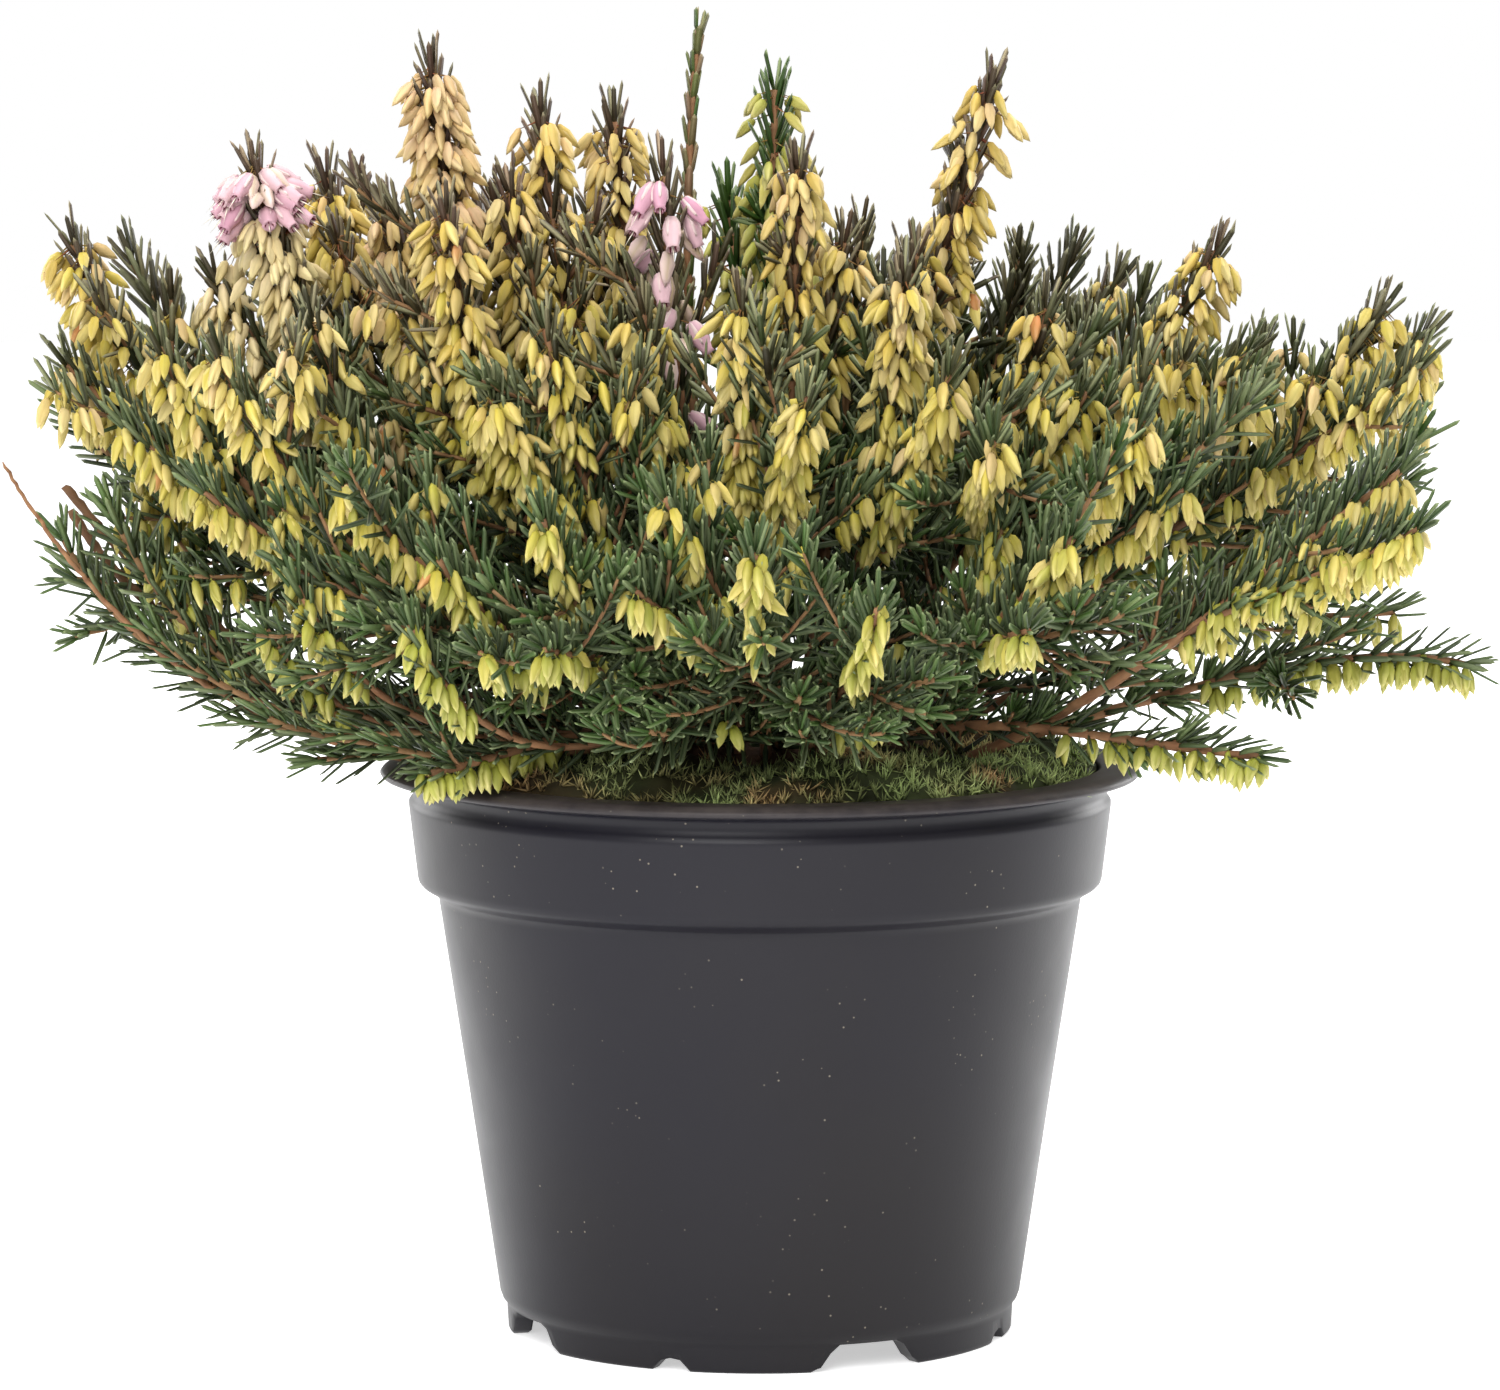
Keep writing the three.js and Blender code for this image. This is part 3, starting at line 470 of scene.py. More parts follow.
    def bent_clear(self, start: Array, end: Array, shape: tuple, leave: Array | None,
                   steps: int, owner: int) -> Run | None:
        """The first of a row of small sways and lifts that keeps a run clear, or None."""
        aside = unit(np.array([start[1] - end[1], end[0] - start[0], 0.0]))
        for lift, sway in product(self.lifts, self.sways):
            points = self.curve(start, end, *shape, leave)
            points[2] += aside * sway + UP * lift
            points[1] += aside * sway * self.lean_below + UP * lift * self.lift_below
            run = Run(points)
            if self.clear(self.beads_of(self.rings(run, steps)), owner):
                return run
        return None

    def record(self, run: Run, steps: int, owner: int) -> None:
        """Notes the space that a run takes."""
        self.beads.append(self.beads_of(self.rings(run, steps)))
        self.owners.append(owner)

    def on_core(self, run: Run, t: float) -> tuple[Array, Array]:
        """A place on the straight stretches between a main core's rings, and its heading."""
        steps, rings = self.main_steps, self.rings(run, self.main_steps)
        i = min(int(t * (steps - 1) / self.last_ring), steps - 1)
        begin = self.last_ring * i / (steps - 1)
        end = 1.0 if i + 1 == steps else self.last_ring * (i + 1) / (steps - 1)
        share = (t - begin) / (end - begin)
        return rings[i] + (rings[i + 1] - rings[i]) * share, unit(rings[i + 1] - rings[i])

    def lay_out(self) -> list[tuple[str, StemRow, list[Shoot]]]:
        """Lays out all stems.

        Returns:
            The node name, the table row, and the main and side shoots of each stem.
        """
        rows = [*FRONT_STEMS, *self.back_rows(), *BARE_STEMS]
        roots = self.roots(rows)
        stems = []
        for owner, (r, root) in enumerate(zip(rows, roots)):
            start = np.array([*root, self.crown_top - self.hole_depth])
            end = np.array(r.tip, dtype=float)
            leave = np.array(r.leave) if r.leave else None
            run = self.bent_clear(start, end, (r.arch, r.lean), leave, self.main_steps, owner)
            run = run or Run(self.curve(start, end, r.arch, r.lean, leave))
            self.record(run, self.main_steps, owner)
            stems.append([Shoot(run, r.kind, Rank.MAIN, r.bare, r)])
        for owner, (r, shoots) in enumerate(zip(rows, stems)):
            for i, (x, y, z, kind) in enumerate(r.sides):
                run = self.side_run(shoots[0].run, np.array([x, y, z], dtype=float), i, owner)
                if run:
                    self.record(run, self.side_steps, owner)
                    shoots.append(Shoot(run, Kind(kind), Rank.SIDE, 0.15, r))
        return list(zip(self.names(rows), rows, stems))

    def side_run(self, main: Run, end: Array, i: int, owner: int) -> Run | None:
        """The run of a stem's side shoot, from the first place on its core that keeps it clear."""
        for t in (0.42 + 0.1 * i, 0.36 + 0.1 * i, 0.5 + 0.1 * i, 0.3):
            start, way = self.on_core(main, t)
            leave = unit(unit(end - start) + way)
            run = self.bent_clear(start, end, (0.0, (0.0, 0.0, 0.0)), leave, self.side_steps, owner)
            if run:
                return run
        return None

    @staticmethod
    def names(rows: list[StemRow]) -> list[str]:
        """The node name of each stem."""
        cut = 0
        found = []
        for i, r in enumerate(rows):
            cut += r.kind is Kind.CUT
            plain = f"stem_{i + 1:02d}"
            found.append({Kind.TWIG: "twig_bare", Kind.CUT: f"stem_cut_{cut}"}.get(r.kind, plain))
        return found


# Shapes that repeat.
@dataclass(frozen=True)
class Template:
    """A small closed shape that is repeated.

    Points have x across, y along from 0 to 1 and z over. Light and deep are the shares of the
    paler and the darker colour at each point.
    """

    points: Array
    faces: Array
    light: Array
    deep: Array


def quads(a: Array, b: Array, c: Array, d: Array) -> Array:
    """Two triangles for each quad, from a and b in one row to c and d in the next."""
    return np.stack([a, b, d, a, d, c], -1).reshape(-1, 3)


def lofted(rings: Array, first: Array, last: Array) -> tuple[Array, Array]:
    """A skin through rings of points, closed by a point at each end.

    Args:
        rings: Ring by ring, the same number of points in each.
        first: The point before the first ring.
        last: The point after the last ring.

    Returns:
        The points and the triangles, which face outwards.
    """
    count, sides = rings.shape[:2]
    points = np.concatenate([rings.reshape(-1, 3), first[None], last[None]])
    i, j = np.meshgrid(np.arange(count - 1), np.arange(sides), indexing="ij")
    a, b = i * sides + j, i * sides + (j + 1) % sides
    skin = quads(a, b, a + sides, b + sides)
    j = np.arange(sides)
    pole, end = count * sides, (count - 1) * sides
    begin = np.stack([(j + 1) % sides, j, np.full(sides, pole)], -1)
    close = np.stack([end + j, end + (j + 1) % sides, np.full(sides, pole + 1)], -1)
    faces = np.concatenate([skin, begin, close])
    p = points - points.mean(axis=0)
    volume = np.einsum("ij,ij->", p[faces[:, 0]], np.cross(p[faces[:, 1]], p[faces[:, 2]]))
    return points, faces if volume > 0 else faces[:, ::-1]


def needle_template(rimmed: bool) -> Template:
    """A blunt needle with a flat underside and a ridge along its top, three points to a ring.

    Args:
        rimmed: Whether its edges are pale, as low on the bush, or a line along its middle.

    Returns:
        The needle.
    """
    along = np.array([[0.05], [0.25], [0.88]])
    half = np.array([[0.6], [1.0], [0.86]])
    across, over = np.array([-1.0, 0.0, 1.0]), np.array([-0.3, 0.65, -0.3])
    rings = np.stack([half * across, np.repeat(along, 3, axis=1), half * over], -1)
    points, faces = lofted(rings, np.zeros(3), np.array([0.0, 1.0, 0.1]))
    if rimmed:
        light = np.array([0.2, 0.2, 0.2, 0.3, 0.0, 0.3, 0.45, 0.1, 0.45, 0.3, 1.0])
        deep = np.array([0.2, 0.0, 0.2, 0.0, 0.1, 0.0, 0.0, 0.1, 0.0, 0.3, 0.0])
    else:
        light = np.array([0.3, 0.7, 0.3, 0.0, 1.0, 0.0, 0.1, 0.9, 0.1, 0.4, 0.8])
        deep = np.array([0.3, 0.0, 0.3, 0.45, 0.0, 0.45, 0.35, 0.0, 0.35, 0.3, 0.0])
    return Template(points, faces, light, deep)


def turned_template(profile: list[Span], sides: int, flute: float, light: list[float]) -> Template:
    """A turned shape with flutes: r times 1 + flute and r times 1 - flute by turns round it.

    Args:
        profile: Radius and place along, from the first pole to the last.
        sides: Points in a ring.
        flute: How much the swelling adds.
        light: The share of the light colour at each row of the profile.

    Returns:
        The shape, painted darker in its furrows as painted shade.
    """
    turn = circle(sides)
    even = np.arange(sides) % 2 == 0
    inner = np.array(profile[1:-1])
    r = inner[:, 0:1] * np.where(even, 1 + flute, 1 - flute)[None]
    along = np.repeat(inner[:, 1:2], sides, axis=1)
    rings = np.stack([r * np.cos(turn), along, r * np.sin(turn)], -1)
    first, last = np.array([0, profile[0][1], 0.0]), np.array([0, profile[-1][1], 0.0])
    points, faces = lofted(rings, first, last)
    # Furrows take half the light colour and 0.6 of the deep one, the foot 0.2 of it: painted shade.
    rows = np.repeat(np.array(light[1:-1])[:, None], sides, axis=1) * np.where(even, 1.0, 0.5)[None]
    deep = np.repeat(np.where(even, 0.0, 0.6)[None], len(inner), axis=0)
    paler = np.concatenate([rows.ravel(), [light[0], light[-1]]])
    return Template(points, faces, paler, np.concatenate([deep.ravel(), [0.2, 0.0]]))


def spike_template(sides: int = 3) -> Template:
    """A slim cone, for moss leaves, stalks, anthers and styles."""
    turn = circle(sides)
    rings = np.stack([np.cos(turn), np.full(sides, 0.02), np.sin(turn)], -1)[None]
    points, faces = lofted(rings, np.zeros(3), np.array([0.0, 1.0, 0.0]))
    light = np.array([0.0] * sides + [0.0, 1.0])
    return Template(points, faces, light, np.array([0.6] * sides + [0.6, 0.0]))


@dataclass
class Skin:
    """Gathers points, faces, colours and material slots, and writes them as one mesh."""

    points: list = field(default_factory=list)
    faces: list = field(default_factory=list)
    tints: list = field(default_factory=list)
    slots: list = field(default_factory=list)
    count: int = 0

    def add(self, points: Array, faces: Array, tints: Array, slot: int) -> None:
        """Adds points in millimetres with their colours, and triangles in one material slot."""
        self.points.append(points.reshape(-1, 3))
        self.faces.append(faces.reshape(-1, 3) + self.count)
        self.tints.append(tints.reshape(-1, 3))
        self.slots.append(np.full(faces.size // 3, slot))
        self.count += self.points[-1].shape[0]

    def repeat(self, shape: Template, spots: "Spots", colours: "Colours", slot: int) -> None:
        """Places a shape at many spots.

        A point is the spot's base, plus its length times y along, its width times x to the
        side, and its width times z plus its bend times its length times y squared over.

        Args:
            shape: What is repeated.
            spots: Where and how large each copy is.
            colours: The main, light and deep colour of each copy.
            slot: The material slot.
        """
        if not len(spots.base):
            return
        x, y, z = shape.points.T
        side = np.cross(spots.along, spots.over)
        long, wide = spots.length[:, None], spots.width[:, None]
        rise = wide * z + spots.bend[:, None] * long * y * y
        places = (
            spots.base[:, None]
            + spots.along[:, None] * (long * y)[..., None]
            + side[:, None] * (wide * x)[..., None]
            + spots.over[:, None] * rise[..., None]
        )
        each = (colours.main, colours.light, colours.deep)
        main, light, deep = (np.broadcast_to(c, spots.base.shape)[:, None] for c in each)
        tints = main + (light - main) * shape.light[:, None]
        tints = tints + (deep - tints) * shape.deep[:, None]
        steps = np.arange(len(spots.base))[:, None, None] * len(shape.points)
        self.add(places, shape.faces[None] + steps, tints, slot)

    def tube(self, spots: Array, ways: Array, aside: Array, radii: Array,
             tints: Array, sides: int, slot: int) -> None:
        """A round skin along a run, closed at both ends.

        Args:
            spots: Points of the run.
            ways: Headings there.
            aside: A direction across the run.
            radii: The radius at each point.
            tints: The colour at each point.
            sides: Points in a ring.
            slot: The material slot.
        """
        level = square_to(ways, aside)
        other = np.cross(ways, level)
        turn, r = circle(sides)[:, None], radii[:, None, None]
        out = r * np.cos(turn) * level[:, None] + r * np.sin(turn) * other[:, None]
        points, faces = lofted(spots[:, None] + out, spots[0], spots[-1])
        colours = np.repeat(tints[:, None], sides, axis=1).reshape(-1, 3)
        self.add(points, faces, np.concatenate([colours, tints[:1], tints[-1:]]), slot)

    def ring(self, places: Array, tints: Array, slot: int) -> None:
        """A skin over rows and columns of points that closes on itself both ways."""
        rows, columns = places.shape[:2]
        i, j = np.meshgrid(np.arange(rows), np.arange(columns), indexing="ij")
        right, upper = (j + 1) % columns, (i + 1) % rows * columns
        faces = quads(i * columns + j, i * columns + right, upper + j, upper + right)
        self.add(places, faces, tints, slot)

    def write(self, name: str, finishes: list[Material]) -> Piece:
        """Makes the Blender object, in metres and smooth, with its colours as attribute tint."""
        points = np.concatenate(self.points) * METRES
        faces = np.concatenate(self.faces)
        tints = np.concatenate(self.tints)
        mesh = bpy.data.meshes.new(name)
        mesh.vertices.add(len(points))
        mesh.vertices.foreach_set("co", points.ravel().astype(np.float32))
        mesh.loops.add(faces.size)
        mesh.loops.foreach_set("vertex_index", faces.ravel().astype(np.int32))
        mesh.polygons.add(len(faces))
        mesh.polygons.foreach_set("loop_start", np.arange(len(faces), dtype=np.int32) * 3)
        mesh.polygons.foreach_set("material_index", np.concatenate(self.slots).astype(np.int32))
        mesh.polygons.foreach_set("use_smooth", np.ones(len(faces), dtype=bool))
        attribute = mesh.color_attributes.new("tint", "FLOAT_COLOR", "POINT")
        rgba = np.concatenate([np.clip(tints, 0, 1), np.ones((len(tints), 1))], axis=1)
        attribute.data.foreach_set("color", rgba.ravel().astype(np.float32))
        for finish in finishes:
            mesh.materials.append(finish)
        mesh.update(calc_edges=True)
        mesh.validate()
        piece = bpy.data.objects.new(name, mesh)
        bpy.context.scene.collection.objects.link(piece)
        return piece


@dataclass
class Spots:
    """Where copies of a shape stand: rows of bases, directions, lengths, widths and bends."""

    base: Array
    along: Array
    over: Array
    length: Array
    width: Array | float
    bend: Array | float = 0.0

    def __post_init__(self) -> None:
        """Gives each copy a length, a width and a bend of its own."""
        for key in ("length", "width", "bend"):
            setattr(self, key, np.array(np.broadcast_to(getattr(self, key), len(self.base))))

    def __getitem__(self, keep: Array) -> "Spots":
        """The spots that a mask keeps."""
        return Spots(*(getattr(self, f)[keep] for f in self.__dataclass_fields__))


@dataclass
class Colours:
    """The main, light and deep colour of each copy, or of all."""

    main: Array
    light: Array
    deep: Array

    def __getitem__(self, keep: Array) -> "Colours":
        """The colours that a mask keeps."""
        return Colours(self.main[keep], self.light[keep], self.deep[keep])


# Shader maths.
class Shade:
    """A node socket, or a number, that expressions can be written with."""

    def __init__(self, nodes: "Nodes", socket: bpy.types.NodeSocket) -> None:
        """Wraps a socket of a node tree."""
        self.nodes, self.socket = nodes, socket

    def _math(self, operation: str, other: object) -> "Shade":
        """A Math node on this value and another."""
        return self.nodes.add("ShaderNodeMath", {"operation": operation}, {0: self, 1: other})

    def __add__(self, other: object) -> "Shade":
        """The sum."""
        return self._math("ADD", other)

    def __mul__(self, other: object) -> "Shade":
        """The product."""
        return self._math("MULTIPLY", other)


class Nodes:
    """The node tree of one material, with its Principled shader."""

    def __init__(self, name: str) -> None:
        """Starts a material."""
        self.material = bpy.data.materials.new(name)
        self.material.use_nodes = True
        self.tree = self.material.node_tree
        self.tree.nodes.clear()
        self.output = self.tree.nodes.new("ShaderNodeOutputMaterial")
        self.shader = self.tree.nodes.new("ShaderNodeBsdfPrincipled")
        self.tree.links.new(self.shader.outputs[0], self.output.inputs["Surface"])

    def add(self, kind: str, settings: dict, inputs: dict, output: int | str = 0) -> Shade:
        """Adds a node.

        Args:
            kind: The node's type.
            settings: Its own properties; stops sets a ramp's places and colours.
            inputs: Values or shades for its sockets, by name or number.
            output: Which of its outputs is wanted.

        Returns:
            That output.
        """
        node = self.tree.nodes.new(kind)
        for key, value in settings.items():
            if key == "stops":
                self.set_stops(node.color_ramp, value)
            else:
                setattr(node, key, value)
        for key, value in inputs.items():
            self.feed(node.inputs[key], value)
        return Shade(self, node.outputs[output])

    @staticmethod
    def set_stops(ramp: bpy.types.ColorRamp, stops: list[tuple[float, Array]]) -> None:
        """Sets a ramp's stops."""
        while len(ramp.elements) < len(stops):
            ramp.elements.new(0.5)
        for element, (place, colour) in zip(ramp.elements, stops):
            element.position = place
            element.color = (*colour, 1.0)

    def feed(self, socket: bpy.types.NodeSocket, value: object) -> None:
        """Links a shade to a socket, or sets its value."""
        if isinstance(value, Shade):
            self.tree.links.new(value.socket, socket)
        elif isinstance(value, Array) and socket.type == "RGBA":
            socket.default_value = (*value, 1.0)
        else:
            socket.default_value = value

    def constant(self, **values: float) -> None:
        """Sets sockets of the shader to plain values, by name with _ for a space."""
        for key, value in values.items():
            self.feed(self.shader.inputs[key.replace("_", " ")], value)

    def place(self) -> Shade:
        """The piece's own coordinates, in metres."""
        return self.add("ShaderNodeTexCoord", {}, {}, "Object")

    def noise(self, per_metre: float, detail: float = 2.0, roughness: float = 0.5,
              where: Shade | None = None) -> Shade:
        """Noise from 0 to 1, with so many waves to a metre."""
        inputs = {"Vector": where or self.place(), "Scale": per_metre}
        inputs |= {"Detail": detail, "Roughness": roughness}
        return self.add("ShaderNodeTexNoise", {}, inputs, "Fac")

    def spread(self, value: Shade, low: float, high: float, to_low: float = 0.0,
               to_high: float = 1.0) -> Shade:
        """Maps a value from one span to another, held at both ends."""
        inputs = {0: value, 1: low, 2: high, 3: to_low, 4: to_high}
        return self.add("ShaderNodeMapRange", {"clamp": True}, inputs)

    def mix(self, share: object, a: object, b: object, how: str = "MIX") -> Shade:
        """Two colours mixed by a share."""
        settings = {"data_type": "RGBA", "blend_type": how}
        return self.add("ShaderNodeMix", settings, {0: share, 6: a, 7: b}, 2)

    def tint(self) -> Shade:
        """The colours that were written into the mesh."""
        return self.add("ShaderNodeAttribute", {"attribute_name": "tint"}, {}, "Color")

    def grey(self, value: Shade) -> Shade:
        """A value as a grey colour."""
        return self.add("ShaderNodeCombineColor", {}, {0: value, 1: value, 2: value})

    def bump(self, height: Shade, strength: float, depth_mm: float) -> None:
        """Raises the surface by a height."""
        inputs = {"Height": height, "Strength": strength, "Distance": depth_mm * METRES}
        self.feed(self.shader.inputs["Normal"], self.add("ShaderNodeBump", {}, inputs))

    def finish(self, colour: object, roughness: object) -> Material:
        """Sets colour and roughness and gives the material back."""
        self.feed(self.shader.inputs["Base Color"], colour)
        self.feed(self.shader.inputs["Roughness"], roughness)
        return self.material


@dataclass(frozen=True)
class LivingFinish:
    """A finish that takes its colours from the mesh and varies them finely.

    Fields: name, mottle size and depth, roughness from and to, bump depth in millimetres and
    how strongly it mirrors.
    """

    name: str
    mottle_per_metre: float
    mottle: float
    rough: Span
    bump_mm: float
    shine: float = 0.2

    def make(self) -> Material:
        """Builds the material: tint times 1 +- mottle, with the roughness following the noise."""
        n = Nodes(self.name)
        patches = n.noise(self.mottle_per_metre, 3.0)
        grain = n.noise(self.mottle_per_metre * 4.0, 2.0)
        level = n.spread(patches, 0.25, 0.75, 1 - self.mottle, 1 + self.mottle)
        colour = n.mix(1.0, n.tint(), n.grey(level), "MULTIPLY")
        n.bump(grain, 0.6, self.bump_mm)
        n.constant(Specular_IOR_Level=self.shine)
        return n.finish(colour, n.spread(grain, 0.3, 0.7, *self.rough))


@dataclass(frozen=True)
class PlasticFinish:
    """Satin black plastic with a fine moulded grain, specks of dust and a paler lip, partly dust
    and rubbing and partly painted light.
    """

    name: str = "pot_plastic"
    colour: Array = made(linear, "18171e")
    warm: Array = made(linear, "1c1a1c")
    dust: Array = made(linear, "8d8578")
    lip_dust_and_light: Array = made(linear, "4d4644")
    lip_from: float = 0.0955
    lip_to: float = 0.0972
    specks_per_metre: float = 480.0
    shine: float = 0.21

    def make(self) -> Material:
        """Builds the material: two near blacks in broad patches, fine dust, and a paler, rougher
        lip that is partly dust and rubbing and partly painted light.
        """
        n = Nodes(self.name)
        place = n.place()
        broad = n.noise(14.0, 2.0, 0.5, place)
        base = n.mix(n.spread(broad, 0.35, 0.7), self.colour, self.warm)
        inputs = {"Vector": place, "Scale": self.specks_per_metre}
        cells = n.add("ShaderNodeTexVoronoi", {"feature": "F1"}, inputs, "Distance")
        few = n.noise(60.0, 1.0, 0.5, place)
        specks = n.spread(cells, 0.1, 0.06) * n.spread(few, 0.5, 0.6)
        grain = n.noise(1800.0, 2.0, 0.6, place)
        n.bump(grain, 0.25, 0.05)
        n.constant(Specular_IOR_Level=self.shine)
        height = n.add("ShaderNodeSeparateXYZ", {}, {0: place}, "Z")
        # The lip's top is painted paler in patches: partly dust and rubbing, partly painted light
        # where its upward face catches the light.
        lip_patches = n.noise(170.0, 4.0, 0.65, place)
        lip_wear_and_light = n.spread(lip_patches, 0.3, 0.65, 0.35, 0.95)
        lip_wear_and_light = n.spread(height, self.lip_from, self.lip_to) * lip_wear_and_light
        base = n.mix(lip_wear_and_light, base, self.lip_dust_and_light)
        colour = n.mix(specks * 0.6, base, self.dust)
        satin = n.spread(n.noise(32.0, 4.0, 0.6, place), 0.3, 0.7, 0.34, 0.44)
        return n.finish(colour, satin + specks * 0.3 + lip_wear_and_light * 0.12)


@dataclass(frozen=True)
class StudioFinish:
    """A plain matt finish for the studio's floor."""

    name: str = "studio_floor"
    colour: Array = made(linear, "f2f2f2")
    glow: float = 0.6

    def make(self) -> Material:
        """Builds the material."""
        n = Nodes(self.name)
        n.constant(Emission_Color=self.colour, Emission_Strength=self.glow)
        return n.finish(self.colour, 0.8)


@dataclass
class Finishes:
    """The finishes of the plant, built once and shared."""

    wood: Material
    needle: Material
    bud: Material
    petal: Material
    moss: Material
    soil: Material
    plastic: Material

    @classmethod
    def make(cls) -> "Finishes":
        """Builds them all."""
        return cls(
            wood=LivingFinish("heath_wood", 420.0, 0.22, (0.55, 0.8), 0.12).make(),
            needle=LivingFinish("heath_needle", 300.0, 0.14, (0.34, 0.5), 0.04).make(),
            bud=LivingFinish("heath_bud", 350.0, 0.07, (0.42, 0.58), 0.03).make(),
            petal=LivingFinish("heath_petal", 350.0, 0.05, (0.4, 0.55), 0.03).make(),
            moss=LivingFinish("moss_leaf", 220.0, 0.25, (0.7, 0.9), 0.1).make(),
            soil=LivingFinish("compost_crumb", 260.0, 0.35, (0.85, 1.0), 0.4).make(),
            plastic=PlasticFinish().make(),
        )


# The plant.
WOOD, NEEDLE, BUD, PETAL = range(4)


@dataclass
class Needles:
    """Whorls of needles up a shoot."""

    length: float = 8.2
    half_width: float = 0.6
    per_whorl: int = 4
    green_spacing: float = 2.7
    budded_spacing: float = 3.25
    reddish_spacing: float = 4.6
    reddish_length: float = 0.62
    green_side_length: float = 1.12
    spur_needle_length: float = 0.88
    tip_gap: float = 6.0
    lift: float = 0.55
    young_span: Span = (2.0, 16.0)
    laid_share: Span = (0.3, 0.5)
    laid_z: Span = (105.0, 150.0)
    green_laid_z: Span = (150.0, 185.0)
    fine_z: Span = (105.0, 135.0)
    lined_z: Span = (135.0, 185.0)
    brown_z: Span = (145.0, 195.0)
    lined: Template = made(needle_template, False)
    rimmed: Template = made(needle_template, True)
    deep_green: Array = made(linear, "0c180a")
    mid_green: Array = made(linear, "1d3416")
    bright_green: Array = made(linear, "466a24")
    pink_brown: Array = made(linear, "8f6656")
    purple_brown: Array = made(linear, "5a4136")
    pale_line: Array = made(linear, "94a072")
    brown_line: Array = made(linear, "b39c80")
    shadow: Array = made(linear, "0a0f08")

    def whorls(self, shoot: Shoot) -> Array:
        """Lengths along a shoot at which its whorls stand, closer together near the tip."""
        end = shoot.length - self.tip_gap
        spacing = {Kind.GREEN: self.green_spacing, Kind.REDDISH: self.reddish_spacing}.get(
            shoot.kind, self.budded_spacing
        )
        begin = shoot.bare * shoot.length
        count = max(int((end - begin) / spacing), 3)
        share = np.linspace(0, 1, count)
        return begin + (end - begin) * (share + 0.07 * np.sin(np.pi * share))

    def grow(self, skin: Skin, shoot: Shoot, rng: Rng) -> Array:
        """Puts needles on a shoot.

        Args:
            skin: What they are added to.
            shoot: What they stand on.
            rng: The stem's own random numbers.

        Returns:
            The lengths at which the whorls stand.
        """
        s = self.whorls(shoot)
        count = len(s)
        turn = np.arange(count)[:, None] * np.pi / 4 + circle(self.per_whorl)
        turn = (turn + rng.normal(0, 0.14, turn.shape)).ravel()
        s_all = np.repeat(s, self.per_whorl) + rng.normal(0, 0.35, count * self.per_whorl)
        spots, ways, outward, sloping = shoot.around(s_all, turn, self.lift)
        to_tip = shoot.length - s_all
        young = 1 - ease(*self.young_span, to_tip)
        laid = self.laid(shoot, s_all, spots[:, 2])
        lean = self.lean(shoot, young, laid, rng)
        comb = (laid * 1.2 + 0.2 * ease(*self.laid_z, spots[:, 2])) * sloping
        lean = lean * (1 - 0.4 * laid * sloping)
        along = unit(outward + ways * lean[:, None] + UP * comb[:, None])
        length = self.length * rng.uniform(0.82, 1.1, len(turn)) * (1 - 0.22 * young)
        length *= 1 + 0.1 * laid
        if shoot.kind is Kind.REDDISH:
            length *= self.reddish_length
        if shoot.kind is Kind.GREEN and shoot.rank is Rank.SIDE:
            length *= self.green_side_length
        if shoot.rank is Rank.SPUR:
            length *= self.spur_needle_length
        fine = 1 - ease(*self.fine_z, spots[:, 2])
        length *= 1 - 0.12 * fine
        width = self.half_width * rng.uniform(0.85, 1.15, len(turn))
        width *= (1 - 0.12 * young) * (1 - 0.05 * laid) * (1 - 0.22 * fine)
        bend = rng.normal(0.05, 0.08, len(turn)) + 0.14 * fine
        base = spots + outward * 0.25
        spread = Spots(base, along, square_to(along, ways), length, width, bend)
        colours = self.colours(shoot, base, young, rng)
        low = rng.uniform(0, 1, len(turn)) > ease(*self.lined_z, base[:, 2])
        skin.repeat(self.rimmed, spread[low], colours[low], NEEDLE)
        skin.repeat(self.lined, spread[~low], colours[~low], NEEDLE)
        return s

    def laid(self, shoot: Shoot, s: Array, z: Array) -> Array:
        """How far needles are laid to their shoot: among its buds, and high in the bush."""
        if shoot.kind is Kind.GREEN:
            return 0.7 * ease(*self.green_laid_z, z)
        return ease(*self.laid_share, s / shoot.length) * ease(*self.laid_z, z)

    @staticmethod
    def lean(shoot: Shoot, young: Array, laid: Array, rng: Rng) -> Array:
        """How far forward needles lean for each unit outward: more among buds and near the tip."""
        if shoot.kind is Kind.REDDISH:
            return 3.6 + rng.normal(0, 0.4, len(young))
        return np.clip(0.85 + laid * 1.1 + young * 1.0 + rng.normal(0, 0.3, len(young)), 0.3, 4)

    def colours(self, shoot: Shoot, base: Array, young: Array, rng: Rng) -> Colours:
        """Dark green below, purple-brown high in the bush, brighter at young green tips, and
        painted shade deep in the bush.
        """
        count = len(base)
        green = blend(self.deep_green, self.mid_green, rng.uniform(0, 1, count))
        high = ease(*self.brown_z, base[:, 2])
        if shoot.row.tone is Tone.FRESH:
            high = np.zeros(count)
            green = blend(green, self.bright_green, 0.35)
        brown = high * rng.uniform(0.4, 0.95, count)
        if shoot.kind is Kind.GREEN:
            brown = brown * 0.75
        main = blend(green, self.purple_brown, brown)
        if shoot.kind is Kind.REDDISH:
            main = blend(self.bright_green * 0.8, self.pink_brown, rng.uniform(0.0, 0.75, count))
        bright = 0.5 if shoot.kind is Kind.GREEN else 0.2
        main = blend(main, self.bright_green, young * (1 - high) * bright)
        # Needles deep in the bush are painted darker, with a fainter pale line, as painted shade;
        # the rest is random tone.
        main = main * (rng.uniform(0.75, 1.25, count) * (1 - 0.5 * inside(base)))[:, None]
        line = blend(self.pale_line, self.brown_line, brown)
        light = blend(main, line, rng.uniform(0.45, 1.0, count) * (1 - 0.6 * inside(base)))
        return Colours(main, light, blend(main, self.shadow, 0.6))


